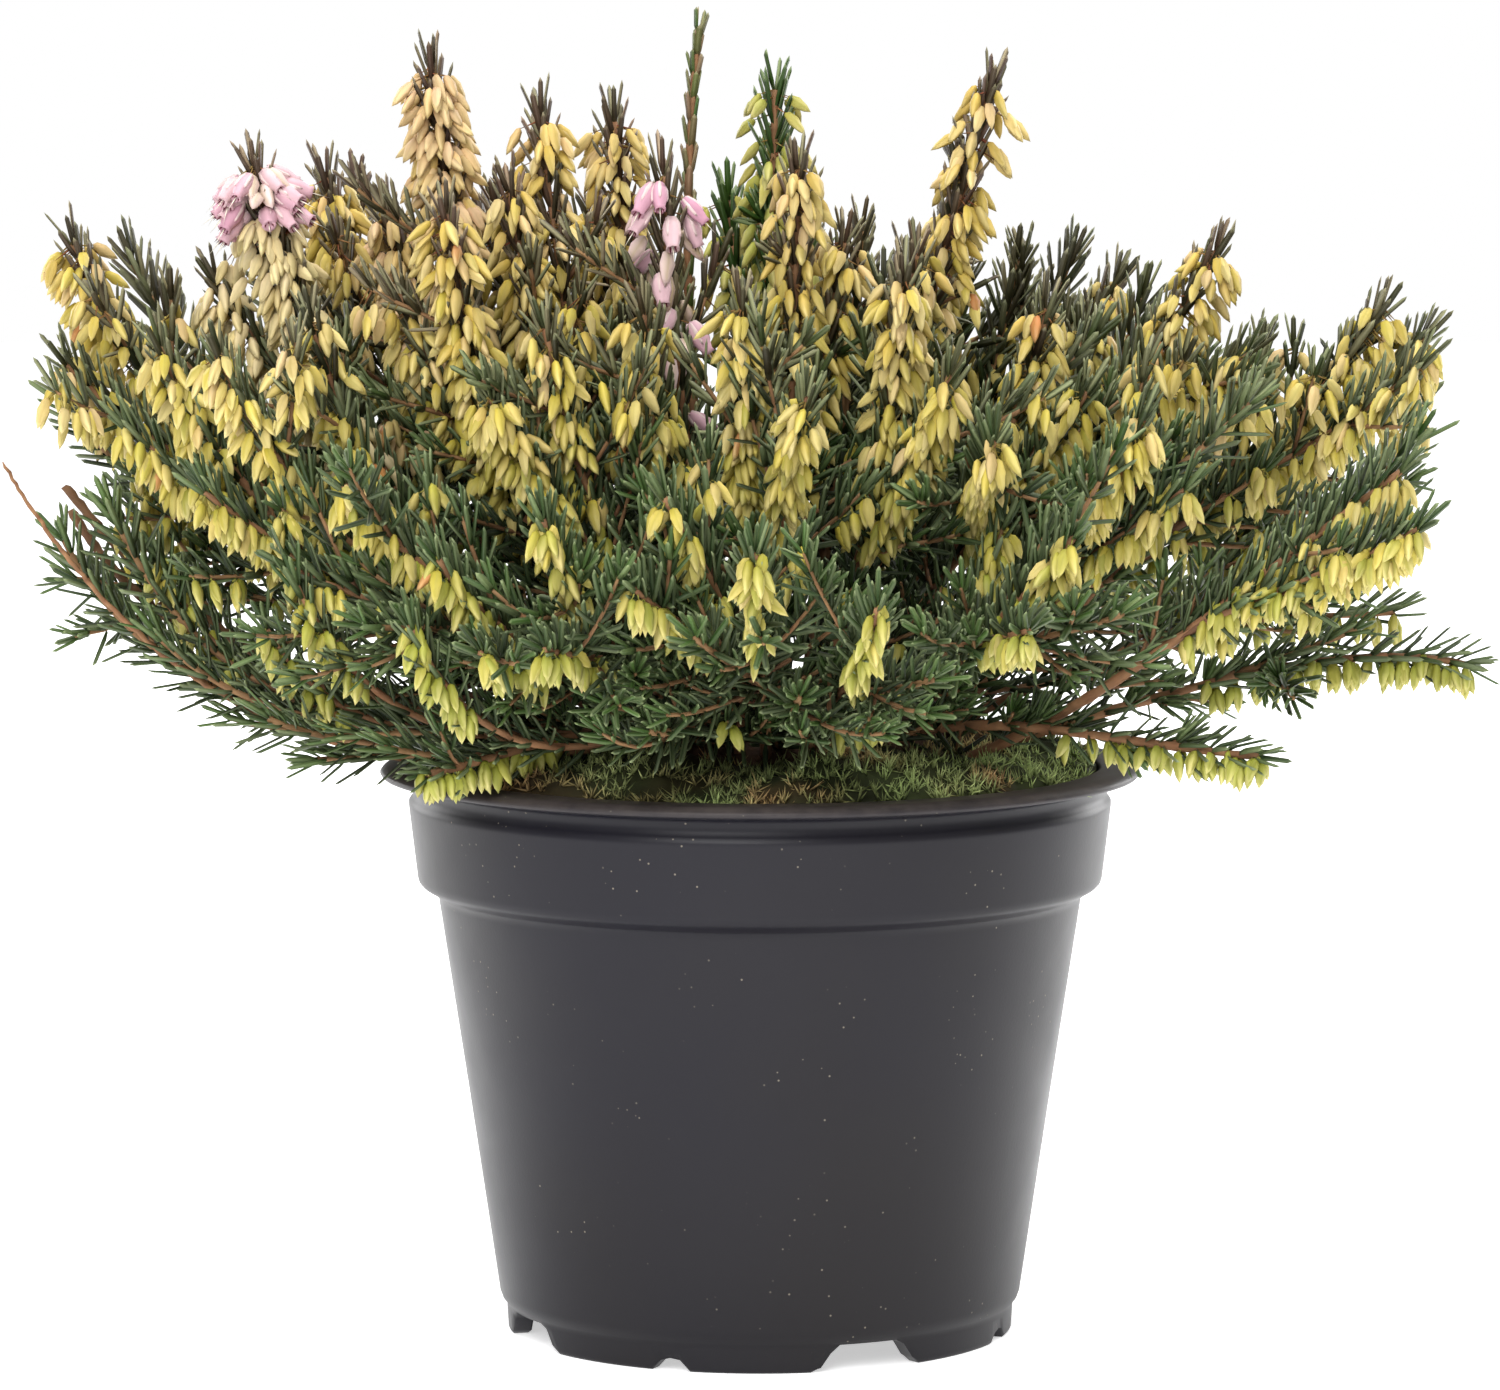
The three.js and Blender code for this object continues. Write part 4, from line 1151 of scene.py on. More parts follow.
@dataclass
class Buds:
    """Hanging buds and open bells at the whorls of a shoot."""

    length: float = 5.5
    radius: float = 0.98
    stalk: float = 2.7
    stalk_radius: float = 0.24
    per_whorl: float = 6.2
    side_from: float = 0.25
    spur_from: float = 0.45
    end_gap: float = 4.0
    edge: float = 14.0
    open_share: Span = (0.8, 0.4)
    bell_swell: Span = (1.2, 1.3)
    closed_swell: Span = (1.15, 1.3)
    sepal_turn: float = 0.4
    spur_plenty: float = 0.6
    low_z: Span = (120.0, 175.0)
    high_z: Span = (130.0, 190.0)
    small_z: Span = (105.0, 140.0)
    yellow_z: Span = (110.0, 160.0)
    gold_z: Span = (155.0, 205.0)
    cream_z: Span = (115.0, 175.0)
    blush_z: Span = (125.0, 175.0)
    lift: float = -0.9
    shape: Template = made(
        turned_template,
        [(0, 0), (0.7, 0.1), (1.04, 0.4), (0.6, 0.78), (0, 1)],
        6, 0.11, [0.0, 0.0, 0.3, 0.8, 1.0],
    )
    bell: Template = made(
        turned_template,
        [(0, 0), (0.7, 0.05), (1.15, 0.3), (1.2, 0.55),
         (0.8, 0.82), (0.92, 0.92), (0.55, 0.9), (0, 0.72)],
        8, 0.05, [0.9, 0.8, 0.6, 0.3, 0.0, 0.1, 0.0, 0.0],
    )
    sepal: Template = made(
        turned_template,
        [(0, 0), (0.6, 0.1), (1.0, 0.45), (0.5, 0.85), (0, 1)],
        4, 0.0, [0.0, 0.2, 0.5, 0.9, 1.0],
    )
    stem_shape: Template = made(spike_template)
    gold: Array = made(linear, "c9a850")
    yellow: Array = made(linear, "bcaa40")
    lime: Array = made(linear, "949838")
    fresh: Array = made(linear, "9c9f46")
    cream: Array = made(linear, "d6c39c")
    blush: Array = made(linear, "d2ac8c")
    dried: Array = made(linear, "b5713f")
    tip: Array = made(linear, "e6d79a")
    groove_shade: Array = made(linear, "5d5a1e")
    pink: Array = made(linear, "be8b9e")
    pale_pink: Array = made(linear, "dbc3c0")
    maroon: Array = made(linear, "5c1f2e")
    style: Array = made(linear, "f2ead8")
    stalk_green: Array = made(linear, "a3a24e")
    stalk_red: Array = made(linear, "8a4c38")

    def seats(self, shoot: Shoot, whorls: Array, rng: Rng) -> Array:
        """Lengths along a shoot at which buds stand, several at each whorl of its upper part."""
        begins = (shoot.row.buds_from, self.side_from, self.spur_from)
        begin = begins[shoot.rank.value] if shoot.buds_from is None else shoot.buds_from
        start, end = begin * shoot.length, shoot.length - self.end_gap
        chosen = whorls[(whorls >= start) & (whorls <= end)]
        if not len(chosen):
            return chosen
        edge = np.minimum(1, 0.45 + (chosen - start) / self.edge)
        edge *= np.minimum(1, 0.7 + (end - chosen) / self.edge)
        plenty = shoot.row.plenty * rng.uniform(0.75, 1.25)
        plenty *= self.spur_plenty if shoot.rank is Rank.SPUR else 1.0
        low = 1 - ease(*self.low_z, shoot.place(chosen)[0][:, 2])
        many = rng.poisson(self.per_whorl * edge * plenty * (1 - 0.3 * low))
        return np.repeat(chosen, many)

    def grow(self, skin: Skin, shoot: Shoot, whorls: Array, rng: Rng) -> int:
        """Hangs buds on a shoot, and bells where it flowers.

        Args:
            skin: What they are added to.
            shoot: What they hang on.
            whorls: Where its whorls of needles are.
            rng: The stem's own random numbers.

        Returns:
            How many there are.
        """
        s = self.seats(shoot, whorls, rng)
        count = len(s)
        if not count:
            return 0
        s = s + rng.uniform(-0.8, 0.8, count)
        spots, _, outward, _ = shoot.around(s, rng.uniform(0, 2 * np.pi, count), self.lift)
        high = ease(*self.high_z, spots[:, 2])
        nod = rng.uniform(0.05, 0.6, count) + high * rng.uniform(0.15, 0.6, count)
        in_bells = shoot.length - self.end_gap - s < shoot.row.bells
        in_bells &= shoot.kind is Kind.FLOWERING
        if shoot.row.tone is Tone.CREAM:
            nod = nod + 0.5 * in_bells
        hang = unit(outward * nod[:, None] - UP + rng.normal(0, 0.18, (count, 3)))
        reach = self.stalk * rng.uniform(0.6, 1.2, count) * (0.5 + 1.1 * high)
        knee = spots + outward * reach[:, None] * 0.8 - UP * reach[:, None] * 0.25
        stalk_way = knee - spots
        over = square_to(unit(stalk_way), UP + 0.01)
        stalk_length = np.linalg.norm(stalk_way, axis=1) * 1.25
        stalks = Spots(spots, unit(stalk_way), over, stalk_length, self.stalk_radius)
        size = rng.uniform(0.84, 1.12, count) * (0.86 + 0.14 * ease(*self.small_z, spots[:, 2]))
        roll = square_to(hang, rng.normal(0, 1, (count, 3)))
        wide = self.radius * rng.uniform(0.85, 1.1, count)
        buds = Spots(knee - hang * 0.3, hang, roll, self.length * size, wide)
        tint = blend(self.stalk_green, self.stalk_red, high * rng.uniform(0.5, 1, count))
        skin.repeat(self.stem_shape, stalks, Colours(tint * 0.8, tint, tint * 0.7), WOOD)
        opened = in_bells & (rng.uniform(0, 1, count) < self.open_share[int(shoot.row.bells > 20)])
        closed = in_bells & ~opened
        buds.length[closed] *= self.closed_swell[0]
        buds.width[closed] *= self.closed_swell[1]
        colours = self.colours(shoot, buds.base, rng)
        paled = blend(colours.main[closed], self.pale_pink, rng.uniform(0.75, 1, closed.sum()))
        colours.main[closed] = paled
        colours.light[closed] = blend(paled, self.pink, rng.uniform(0, 0.5, closed.sum()))
        skin.repeat(self.shape, buds[~opened], colours[~opened], BUD)
        bells = buds[opened]
        bells.length *= self.bell_swell[0]
        bells.width *= self.bell_swell[1]
        self.open_bells(skin, bells, rng)
        return count

    def colours(self, shoot: Shoot, base: Array, rng: Rng) -> Colours:
        """Lime low down, yellow in the middle, gold and cream at the top, with a few dried, and
        painted shade deep in the bush and in the furrows.
        """
        count = len(base)
        z = base[:, 2] + rng.normal(0, 9, count)
        main = blend(self.lime, self.yellow, ease(*self.yellow_z, z))
        main = blend(main, self.gold, ease(*self.gold_z, z))
        creamy = rng.uniform(0, 1, count) ** 2 * 0.55
        main = blend(main, self.cream, creamy * ease(*self.cream_z, z))
        blushed = (rng.uniform(0, 1, count) > 0.89) * 0.5
        main = blend(main, self.blush, blushed * ease(*self.blush_z, z))
        if shoot.row.tone is Tone.CREAM:
            main = blend(main, self.cream, rng.uniform(0.5, 1, count))
        if shoot.row.tone is Tone.BLUSH:
            main = blend(main, self.blush, rng.uniform(0.3, 0.9, count))
        if shoot.row.tone is Tone.FRESH:
            main = blend(main, self.fresh, rng.uniform(0.6, 1, count))
        main = blend(main, self.dried, rng.uniform(0, 1, count) > 0.995)
        # Buds deep in the bush are painted darker, with fainter pale tips, as painted shade.
        main = main * (rng.uniform(0.82, 1.12, count) * (1 - 0.35 * inside(base)))[:, None]
        light = blend(main, self.tip, rng.uniform(0.25, 0.7, count) * (1 - 0.5 * inside(base)))
        # The deep colour is painted shade in the buds' furrows and at their foot.
        return Colours(main, light, blend(main, self.groove_shade, 0.6))

    def open_bells(self, skin: Skin, bells: Spots, rng: Rng) -> None:
        """Opens flowers: a pink bell, four pale sepals, a ring of dark anthers and a pale style."""
        count = len(bells.base)
        if not count:
            return
        fade = rng.uniform(0, 0.6, count)
        main = blend(self.pink, self.pale_pink, fade)
        pink = Colours(main, blend(main, self.pale_pink, fade), main * 0.75)
        skin.repeat(self.bell, bells, pink, PETAL)
        side = np.cross(bells.along, bells.over)
        mouth = bells.base + bells.along * bells.length[:, None] * 0.8
        pale, dark, white = self.pale_pink, self.maroon, self.style
        for quarter in circle(4):
            turn = quarter + self.sepal_turn
            out = side * math.cos(turn) + bells.over * math.sin(turn)
            base = bells.base + out * bells.width[:, None] * 0.45
            along = unit(bells.along + out * 0.28)
            over = square_to(along, out)
            leaf = Spots(base, along, over, bells.length * 0.66, bells.width * 0.5, -0.08)
            skin.repeat(self.sepal, leaf, Colours(pale * 0.9, pale, pale * 0.8), PETAL)
            out = side * math.cos(quarter) + bells.over * math.sin(quarter)
            base = mouth + out * bells.width[:, None] * 0.4
            anther = Spots(base, unit(bells.along + out * 0.15), out, bells.length * 0.24, 0.24)
            skin.repeat(self.stem_shape, anther, Colours(dark, dark * 1.3, dark), PETAL)
        style = Spots(mouth, bells.along, bells.over, bells.length * 0.62, 0.16)
        skin.repeat(self.stem_shape, style, Colours(white, white, white), PETAL)


@dataclass
class Wood:
    """The bark of stems and shoots, with a swelling at each node."""

    main_r: Span = (1.0, 0.58)
    side_r: Span = (0.66, 0.46)
    spur_r: Span = (0.42, 0.3)
    cut_r: Span = (1.0, 0.8)
    twig_r: Span = (0.85, 0.3)
    ring_step: float = 2.8
    spur_ring_step: float = 3.92
    bare_ring_step: float = 1.1
    needle_top: float = 5.5
    sides: tuple[int, int, int] = (6, 5, 4)
    tan: Array = made(linear, "93704f")
    red: Array = made(linear, "6b4630")
    grey: Array = made(linear, "5a473c")
    young: Array = made(linear, "75663f")

    def grow(self, skin: Skin, shoot: Shoot, rng: Rng) -> None:
        """Lays the bark of a shoot: a tube that thins to its tip and swells at its nodes."""
        bare = shoot.kind in (Kind.TWIG, Kind.CUT)
        radii = (self.main_r, self.side_r, self.spur_r)[shoot.rank.value]
        radii = {Kind.TWIG: self.twig_r, Kind.CUT: self.cut_r}.get(shoot.kind, radii)
        end = shoot.length - (0.0 if bare else self.needle_top)
        step = self.spur_ring_step if shoot.rank is Rank.SPUR else self.ring_step
        count = max(int(end / (self.bare_ring_step if bare else step)), 5)
        s = np.linspace(0, end, count)
        share = s / end
        r = radii[0] + (radii[1] - radii[0]) * share
        odd = np.arange(count) % 2
        r = r * (1 + 0.13 * odd + rng.normal(0, 0.05, count))
        if bare:
            r[-1] *= 0.7 if shoot.kind is Kind.CUT else 0.3
        spots, ways = shoot.place(s)
        if bare:
            spots = spots + rng.normal(0, 0.12, spots.shape)
        tints = blend(self.grey, self.tan, ease(0.0, 0.35, share))
        tints = blend(tints, self.red, 0.35 + 0.5 * odd * rng.uniform(0.3, 1, count))
        if shoot.kind is Kind.GREEN or shoot.rank is Rank.SPUR:
            tints = blend(tints, self.young, 0.3 * share)
        tints = tints * rng.uniform(0.8, 1.2, count)[:, None]
        tints *= 0.6 if shoot.kind is Kind.CUT else 1.0
        skin.tube(spots, ways, shoot.aside, r, tints, self.sides[shoot.rank.value], WOOD)


@dataclass
class LeafyStem:
    """One stem of the heath, with its side shoots and spurs and all that they bear."""

    name: str
    shoots: list[Shoot]
    seed: int
    needles: Needles
    buds: Buds
    wood: Wood
    spur_step: float = 11.5
    spur_length: Span = (15.0, 32.0)
    over_lip: float = 102.0
    over_moss: float = 114.0
    crown_floor: float = 103.0
    lip_floor: float = 99.0
    moss_r: float = 60.0
    pot_r: float = 68.0
    window: Span = (62.0, -25.0)
    highest: Triple = (209.0, 200.0, 175.0)
    box: Span = (126.0, 101.0)
    skirt_buds_from: float = 0.6
    budded_z: Span = (125.0, 175.0)
    outer_x: Span = (60.0, 95.0)
    outer_z: Span = (115.0, 135.0)

    def spurs(self, rng: Rng) -> list[Shoot]:
        """Short leafy shoots from the lower and middle parts of the stem, which fill the bush."""
        found = []
        for parent in self.shoots:
            if parent.kind in (Kind.REDDISH, Kind.TWIG, Kind.CUT):
                continue
            first, last = (0.14, 0.84) if parent.rank is Rank.MAIN else (0.1, 0.7)
            middle = 0.45 * parent.length
            s = np.concatenate([
                np.arange(first * parent.length, middle, self.spur_step * 0.7),
                np.arange(middle, last * parent.length, self.spur_step),
            ])
            s = s + rng.uniform(-3, 3, len(s))
            spots, ways = parent.place(s)
            for spot, way in zip(spots, ways):
                spur = self.spur(parent, spot, way, rng)
                if spur:
                    found.append(spur)
        return found

    def spur(self, parent: Shoot, spot: Array, way: Array, rng: Rng) -> Shoot | None:
        """One short shoot, which leaves sideways and turns up, or None if it leaves the bush."""
        random_way = square_to(way, rng.normal(0, 1, 3))
        reach = rng.uniform(*self.spur_length) * parent.row.spurs
        outward = unit(np.array([spot[0], spot[1], 0.0]) + 1e-6)
        end = spot + unit(random_way * 0.8 + way * 0.55 + UP * 0.3 + outward * 0.25) * reach
        out = math.hypot(end[0], end[1])
        floor = self.crown_floor if out < self.moss_r else self.lip_floor
        if end[2] < floor + 4 and out < self.pot_r:
            end[2] = floor + rng.uniform(4, 8)
        if end[1] < self.window[1] and abs(end[0]) < self.window[0]:
            end[2] = max(end[2], self.over_moss)
        middle, left, right = self.highest
        highest = middle if abs(end[0]) < 40 else left if end[0] < 60 else right
        if abs(end[0]) > self.box[0] or abs(end[1]) > self.box[1] or end[2] > highest:
            return None
        leave = spot + unit(random_way + way) * reach * 0.4
        bend = end - UP * reach * 0.12 - (end - spot) * 0.2
        chance = 0.08 + 0.55 * ease(*self.budded_z, end[2])
        chance += 0.6 * ease(*self.outer_x, abs(end[0])) * ease(*self.outer_z, end[2])
        budded = rng.uniform() < min(chance, 0.85)
        kind = Kind.BUDDED if budded else Kind.GREEN
        return Shoot(Run(np.array([spot, leave, bend, end])), kind, Rank.SPUR, 0.12, parent.row)

    def skirt(self) -> list[Shoot]:
        """Low shoots that run out over the pot's lip before they rise."""
        main = self.shoots[0]
        found = []
        for share, x, y, z, kind in main.row.skirt:
            spot = main.place(np.array([share * main.length]))[0][0]
            end = np.array([x, y, z], dtype=float)
            far = end - spot
            first = spot + far * np.array([0.4, 0.4, 0.0])
            first[2] = self.over_lip
            second = spot + far * np.array([0.8, 0.8, 0.0])
            second[2] = self.over_lip + 0.15 * (z - self.over_lip)
            run = Run(np.array([spot, first, second, end]))
            found.append(Shoot(run, Kind(kind), Rank.SIDE, 0.22, main.row, self.skirt_buds_from))
        return found

    def build(self, finishes: Finishes) -> Piece:
        """Makes the stem's mesh and dresses it."""
        rng = np.random.default_rng(self.seed)
        skin = Skin()
        buds = 0
        for shoot in self.shoots + self.skirt() + self.spurs(rng):
            self.wood.grow(skin, shoot, rng)
            if shoot.kind in (Kind.TWIG, Kind.CUT):
                continue
            whorls = self.needles.grow(skin, shoot, rng)
            if shoot.kind in (Kind.BUDDED, Kind.FLOWERING):
                buds += self.buds.grow(skin, shoot, whorls, rng)
        layers = [finishes.wood, finishes.needle, finishes.bud, finishes.petal]
        piece = skin.write(f"heath_{self.name}", layers)
        log.info("%s: %d shoots, %d buds, %d triangles", self.name, len(self.shoots), buds,
                 sum(len(f) for f in skin.faces))
        return piece


@dataclass
class NurseryPot:
    """The black pot: a turned wall with a band and a rolled lip, on a cut-out foot ring."""

    foot_height: float = 4.6
    foot_outer: float = 43.6
    foot_inner: float = 40.2
    body_bottom: float = 44.6
    body_top: float = 55.1
    body_top_z: float = 75.4
    band_bottom: float = 58.5
    band_bottom_z: float = 78.0
    band_top: float = 60.2
    band_top_z: float = 91.5
    neck: float = 59.2
    neck_z: float = 94.8
    lip: float = 65.0
    lip_top: float = 97.6
    wall: float = 1.1
    floor_top: float = 5.8
    wide_gaps: tuple[float, ...] = (25, 115, 205, 295)
    notches: tuple[float, ...] = (-20, 70, 160, 250)
    wide_top: float = 12.0
    wide_bottom: float = 18.5
    notch_width: float = 6.4
    notch_height: float = 2.2
    columns: int = 160
    hold: float = 0.45
    long_stretch: float = 0.3

    def profile(self) -> Array:
        """Radius and height round the wall's section, from below the floor to above it."""
        halfway = (self.body_bottom + self.body_top) / 2
        halfway_z = (self.foot_height + 1.6 + self.body_top_z) / 2
        return np.array([
            (0.5, self.foot_height),
            (self.foot_inner - 1, self.foot_height),
            (self.foot_inner, self.foot_height - 0.2),
            (self.foot_inner, 0.3),
            (self.foot_inner + 0.3, 0),
            (self.foot_outer - 0.6, 0),
            (self.foot_outer - 0.25, 0.35),
            (self.foot_outer, self.foot_height - 0.1),
            (self.foot_outer + 0.3, self.foot_height + 0.5),
            (self.body_bottom - 0.2, self.foot_height + 1.1),
            (self.body_bottom + 0.2, self.foot_height + 2.2),
            (halfway, halfway_z),
            (self.body_top - 0.05, self.body_top_z - 0.6),
            (self.body_top + 0.4, self.body_top_z + 0.3),
            (self.band_bottom - 0.6, self.band_bottom_z - 0.9),
            (self.band_bottom - 0.05, self.band_bottom_z - 0.3),
            (self.band_bottom + 0.15, self.band_bottom_z + 0.5),
            (self.band_top - 0.1, self.band_top_z - 0.8),
            (self.band_top - 0.1, self.band_top_z - 0.1),
            (self.band_top - 0.6, self.band_top_z + 0.6),
            (self.neck + 0.05, self.band_top_z + 1.4),
            (self.neck, self.neck_z - 0.5),
            (self.neck + 0.5, self.neck_z + 0.1),
            (self.lip - 1.2, self.neck_z + 0.9),
            (self.lip - 0.3, self.neck_z + 1.1),
            (self.lip, self.neck_z + 1.6),
            (self.lip - 0.4, self.lip_top - 0.7),
            (self.lip - 1.3, self.lip_top - 0.2),
            (self.lip - 2.6, self.lip_top),
            (self.neck - self.wall + 0.5, self.lip_top),
            (self.neck - self.wall, self.lip_top - 0.5),
            (self.neck - self.wall, self.band_top_z + 0.6),
            (self.band_bottom - self.wall, self.band_bottom_z + 0.8),
            (self.body_top - self.wall, self.body_top_z + 0.6),
            (self.body_bottom - self.wall, self.floor_top + 1.2),
            (self.body_bottom - self.wall - 1.2, self.floor_top),
            (0.5, self.floor_top),
        ])

    def held_profile(self) -> Array:
        """The profile with a point close to both ends of each long stretch, for crisp edges."""
        rows = self.profile()
        held = [rows[:1]]
        for a, b in zip(rows[:-1], rows[1:]):
            share = self.hold / np.linalg.norm(b - a)
            if share < self.long_stretch:
                held.append(a + (b - a) * np.array([[share], [1 - share]]))
            held.append(b[None])
        return np.concatenate(held)

    def foot_edge(self, degrees: Array) -> Array:
        """Height of the foot ring's lower edge, with its trapezoid gaps and round notches."""

        def beside(middles: tuple[float, ...]) -> Array:
            """How far each place of the foot lies beside the nearest of some bearings."""
            off = np.abs((degrees - np.array(middles)[:, None] + 180) % 360 - 180).min(axis=0)
            return np.sin(np.radians(np.minimum(off, 90))) * self.foot_outer

        rise = (self.wide_bottom - 2 * beside(self.wide_gaps)) / (self.wide_bottom - self.wide_top)
        gaps = np.clip(rise, 0, 1) * (self.foot_height - 0.02)
        x = beside(self.notches) / (self.notch_width / 2)
        return np.maximum(gaps, np.sqrt(np.clip(1 - x * x, 0, 1)) * self.notch_height)

    def build(self, finishes: Finishes) -> Piece:
        """Turns the profile round the axis, with its foot rows lifted to the foot's edge."""
        degrees = np.arange(self.columns) * 360 / self.columns
        turn = np.radians(degrees - 90)
        rows = self.held_profile()
        r = np.repeat(rows[:, :1], self.columns, axis=1)
        z = np.repeat(rows[:, 1:], self.columns, axis=1)
        z = np.where(z < self.foot_height, np.maximum(z, self.foot_edge(degrees)[None]), z)
        places = np.stack([r * np.cos(turn), r * np.sin(turn), z], -1)
        points, faces = lofted(places[::-1], UP * self.floor_top, UP * self.foot_height)
        skin = Skin()
        skin.add(points, faces, np.full(points.shape, 0.03), 0)
        return skin.write("nursery_pot", [finishes.plastic])


@dataclass
class RootBall:
    """The compost: its plain sides in the pot, and a crumbly crown that the stems stand in."""

    planting: Planting
    shelf_z: float = 91.8
    columns: int = 110
    crown_rings: int = 26
    crumbs: int = 400
    dark: Array = made(linear, "2c2018")
    brown: Array = made(linear, "4a3526")

    def build(self, finishes: Finishes) -> Piece:
        """Turns the root ball and crumbles its crown by lattice noise."""
        pot = NurseryPot()
        inner = pot.wall + 0.6
        crown, top = self.planting.crown_r, self.planting.crown_top
        profile = [
            (pot.body_bottom - inner - 1.3, pot.floor_top + 0.3),
            (pot.body_bottom - inner, pot.floor_top + 1.9),
            (pot.body_top - inner, pot.body_top_z + 0.6),
            (pot.band_bottom - pot.wall - 1.3, pot.band_bottom_z + 1.6),
            (pot.band_top - pot.wall - 2.3, self.shelf_z - 1.6),
            (pot.band_top - pot.wall - 3.2, self.shelf_z),
            (crown + 0.9, self.shelf_z + 0.4),
            (crown, top - 1),
        ]
        side_rows = len(profile)
        profile += [(r, top) for r in np.linspace(crown - 1.2, 0.6, self.crown_rings)]
        rows = np.array(profile)
        turn = circle(self.columns)
        r = np.repeat(rows[:, :1], self.columns, axis=1)
        z = np.repeat(rows[:, 1:], self.columns, axis=1)
        x, y = r * np.cos(turn), r * np.sin(turn)
        rough = lattice_noise(x * 0.55, y * 0.55, 5) * 0.8
        rough += lattice_noise(x * 1.5, y * 1.5, 6) * 0.5
        crown_rows = (np.arange(len(rows)) >= side_rows)[:, None]
        z = z + np.where(crown_rows, rough * 0.9, 0)
        # On the crown the noise that raises the crumbs also colours them: bumps browner, hollows
        # darker as painted shade; on the sides it only varies the tone.
        shade = (rough + 1.3) / 2.6
        tints = blend(self.dark, self.brown, np.clip(shade, 0, 1))
        points, faces = lofted(np.stack([x, y, z], -1), UP * (pot.floor_top + 0.3), UP * top)
        skin = Skin()
        tints = np.concatenate([tints.reshape(-1, 3), np.tile(self.dark, (2, 1))])
        skin.add(points, faces, tints, 0)
        self.scatter(skin)
        return skin.write("root_ball", [finishes.soil])

    def scatter(self, skin: Skin) -> None:
        """Strews crumbs over the crown."""
        rng = np.random.default_rng(31)
        crumb = turned_template([(0, 0), (0.8, 0.2), (1, 0.6), (0, 1)], 5, 0.1, [0, 0.3, 0.6, 1])
        count = self.crumbs
        out = self.planting.crown_r * np.sqrt(rng.uniform(0, 0.98, count))
        turn = rng.uniform(0, 2 * np.pi, count)
        z = self.planting.crown_top + rng.uniform(-1.0, 0.3, count)
        base = np.stack([out * np.cos(turn), out * np.sin(turn), z], -1)
        along = unit(rng.normal(0, 1, (count, 3)))
        size = rng.uniform(0.5, 1.6, count)
        over = square_to(along, rng.normal(0, 1, (count, 3)))
        main = blend(self.dark, self.brown, rng.uniform(0, 1, count))
        spots = Spots(base, along, over, size * 1.3, size * 0.6)
        skin.repeat(crumb, spots, Colours(main, main * 1.5, main * 0.6), 0)


@dataclass
class MossCushion:
    """The moss between crown and wall: a lumpy cushion under thousands of small leaves."""

    planting: Planting
    columns: int = 160
    rows: int = 14
    tufts: int = 1116
    leaves_a_tuft: int = 6
    bottom: float = 92.6
    shade: float = 0.22
    dark: Array = made(linear, "424829")
    olive: Array = made(linear, "828b5a")
    bright: Array = made(linear, "84955c")
    rust: Array = made(linear, "8e6e4c")

    def height(self, r: Array, turn: Array) -> Array:
        """The solid's height plus fine lumps of lattice noise."""
        x, y = r * np.cos(turn), r * np.sin(turn)
        lumps = lattice_noise(x * 0.3, y * 0.3, 11) * 1.1
        return self.planting.moss_top(r, turn) + lumps + lattice_noise(x * 0.9, y * 0.9, 12) * 0.6

    def patch(self, x: Array, y: Array) -> Array:
        """Colours in broad patches: olive, rust and bright green."""
        one = lattice_noise(x * 0.09 + 7, y * 0.09 + 3, 21)
        two = lattice_noise(x * 0.13 + 1, y * 0.13 + 9, 22)
        tints = blend(self.dark, self.olive, np.clip(one * 0.8 + 0.5, 0, 1))
        tints = blend(tints, self.rust, np.clip(two * 1.5 - 0.1, 0, 0.85))
        return blend(tints, self.bright, np.clip(-two * 1.4 - 0.35, 0, 0.8))

    def build(self, finishes: Finishes) -> Piece:
        """Makes the cushion as a closed ring and strews its leaves."""
        p = self.planting
        inner, outer = p.crown_r + 1.3, p.neck_r - p.wall - 0.5
        turn = circle(self.columns)
        r = np.linspace(inner, outer, self.rows)[:, None] + np.zeros(self.columns)
        top = self.height(r, turn[None])
        top[-1] -= 1.6
        ring = np.stack([r * np.cos(turn), r * np.sin(turn), top], -1)
        low_r = np.array([outer, inner])[:, None] + np.zeros(self.columns)
        bottom = np.full_like(low_r, self.bottom)
        low = np.stack([low_r * np.cos(turn), low_r * np.sin(turn), bottom], -1)
        places = np.concatenate([ring, low])[::-1]
        # The cushion under the leaves is darkened by the shade factor: painted shade beneath the
        # tufts.
        tints = self.patch(places[..., 0], places[..., 1]) * self.shade
        skin = Skin()
        skin.ring(places, tints, 0)
        self.strew(skin, inner, outer)
        return skin.write("moss_cushion", [finishes.moss])

    def strew(self, skin: Skin, inner: float, outer: float) -> None:
        """Stands small pointed leaves in tufts all over the cushion."""
        rng = np.random.default_rng(41)
        r = outer - 0.3 - (outer - inner) * rng.uniform(0, 1, self.tufts) ** 1.5
        turn = rng.normal(-np.pi / 2, 1.5, self.tufts)
        r, turn = np.repeat(r, self.leaves_a_tuft), np.repeat(turn, self.leaves_a_tuft)
        r = np.clip(r + rng.normal(0, 0.35, len(r)), inner, outer - 0.3)
        base = np.stack([r * np.cos(turn), r * np.sin(turn), self.height(r, turn) - 0.3], -1)
        base[:, :2] += rng.normal(0, 0.2, (len(r), 2))
        along = unit(rng.normal(0, 0.75, (len(r), 3)) + UP)
        over = square_to(along, rng.normal(0, 1, along.shape))
        length = rng.uniform(1.4, 3.6, len(r))
        width, bend = rng.uniform(0.16, 0.28, len(r)), rng.normal(0, 0.15, len(r))
        spots = Spots(base, along, over, length, width, bend)
        main = self.patch(base[:, 0], base[:, 1]) * rng.uniform(0.95, 2.6, len(r))[:, None]
        # Each leaf is painted darker at its foot, down among the tufts, as painted shade, and paler
        # at its tip.
        skin.repeat(spike_template(), spots, Colours(main, main * 1.5, main * 0.25), 0)


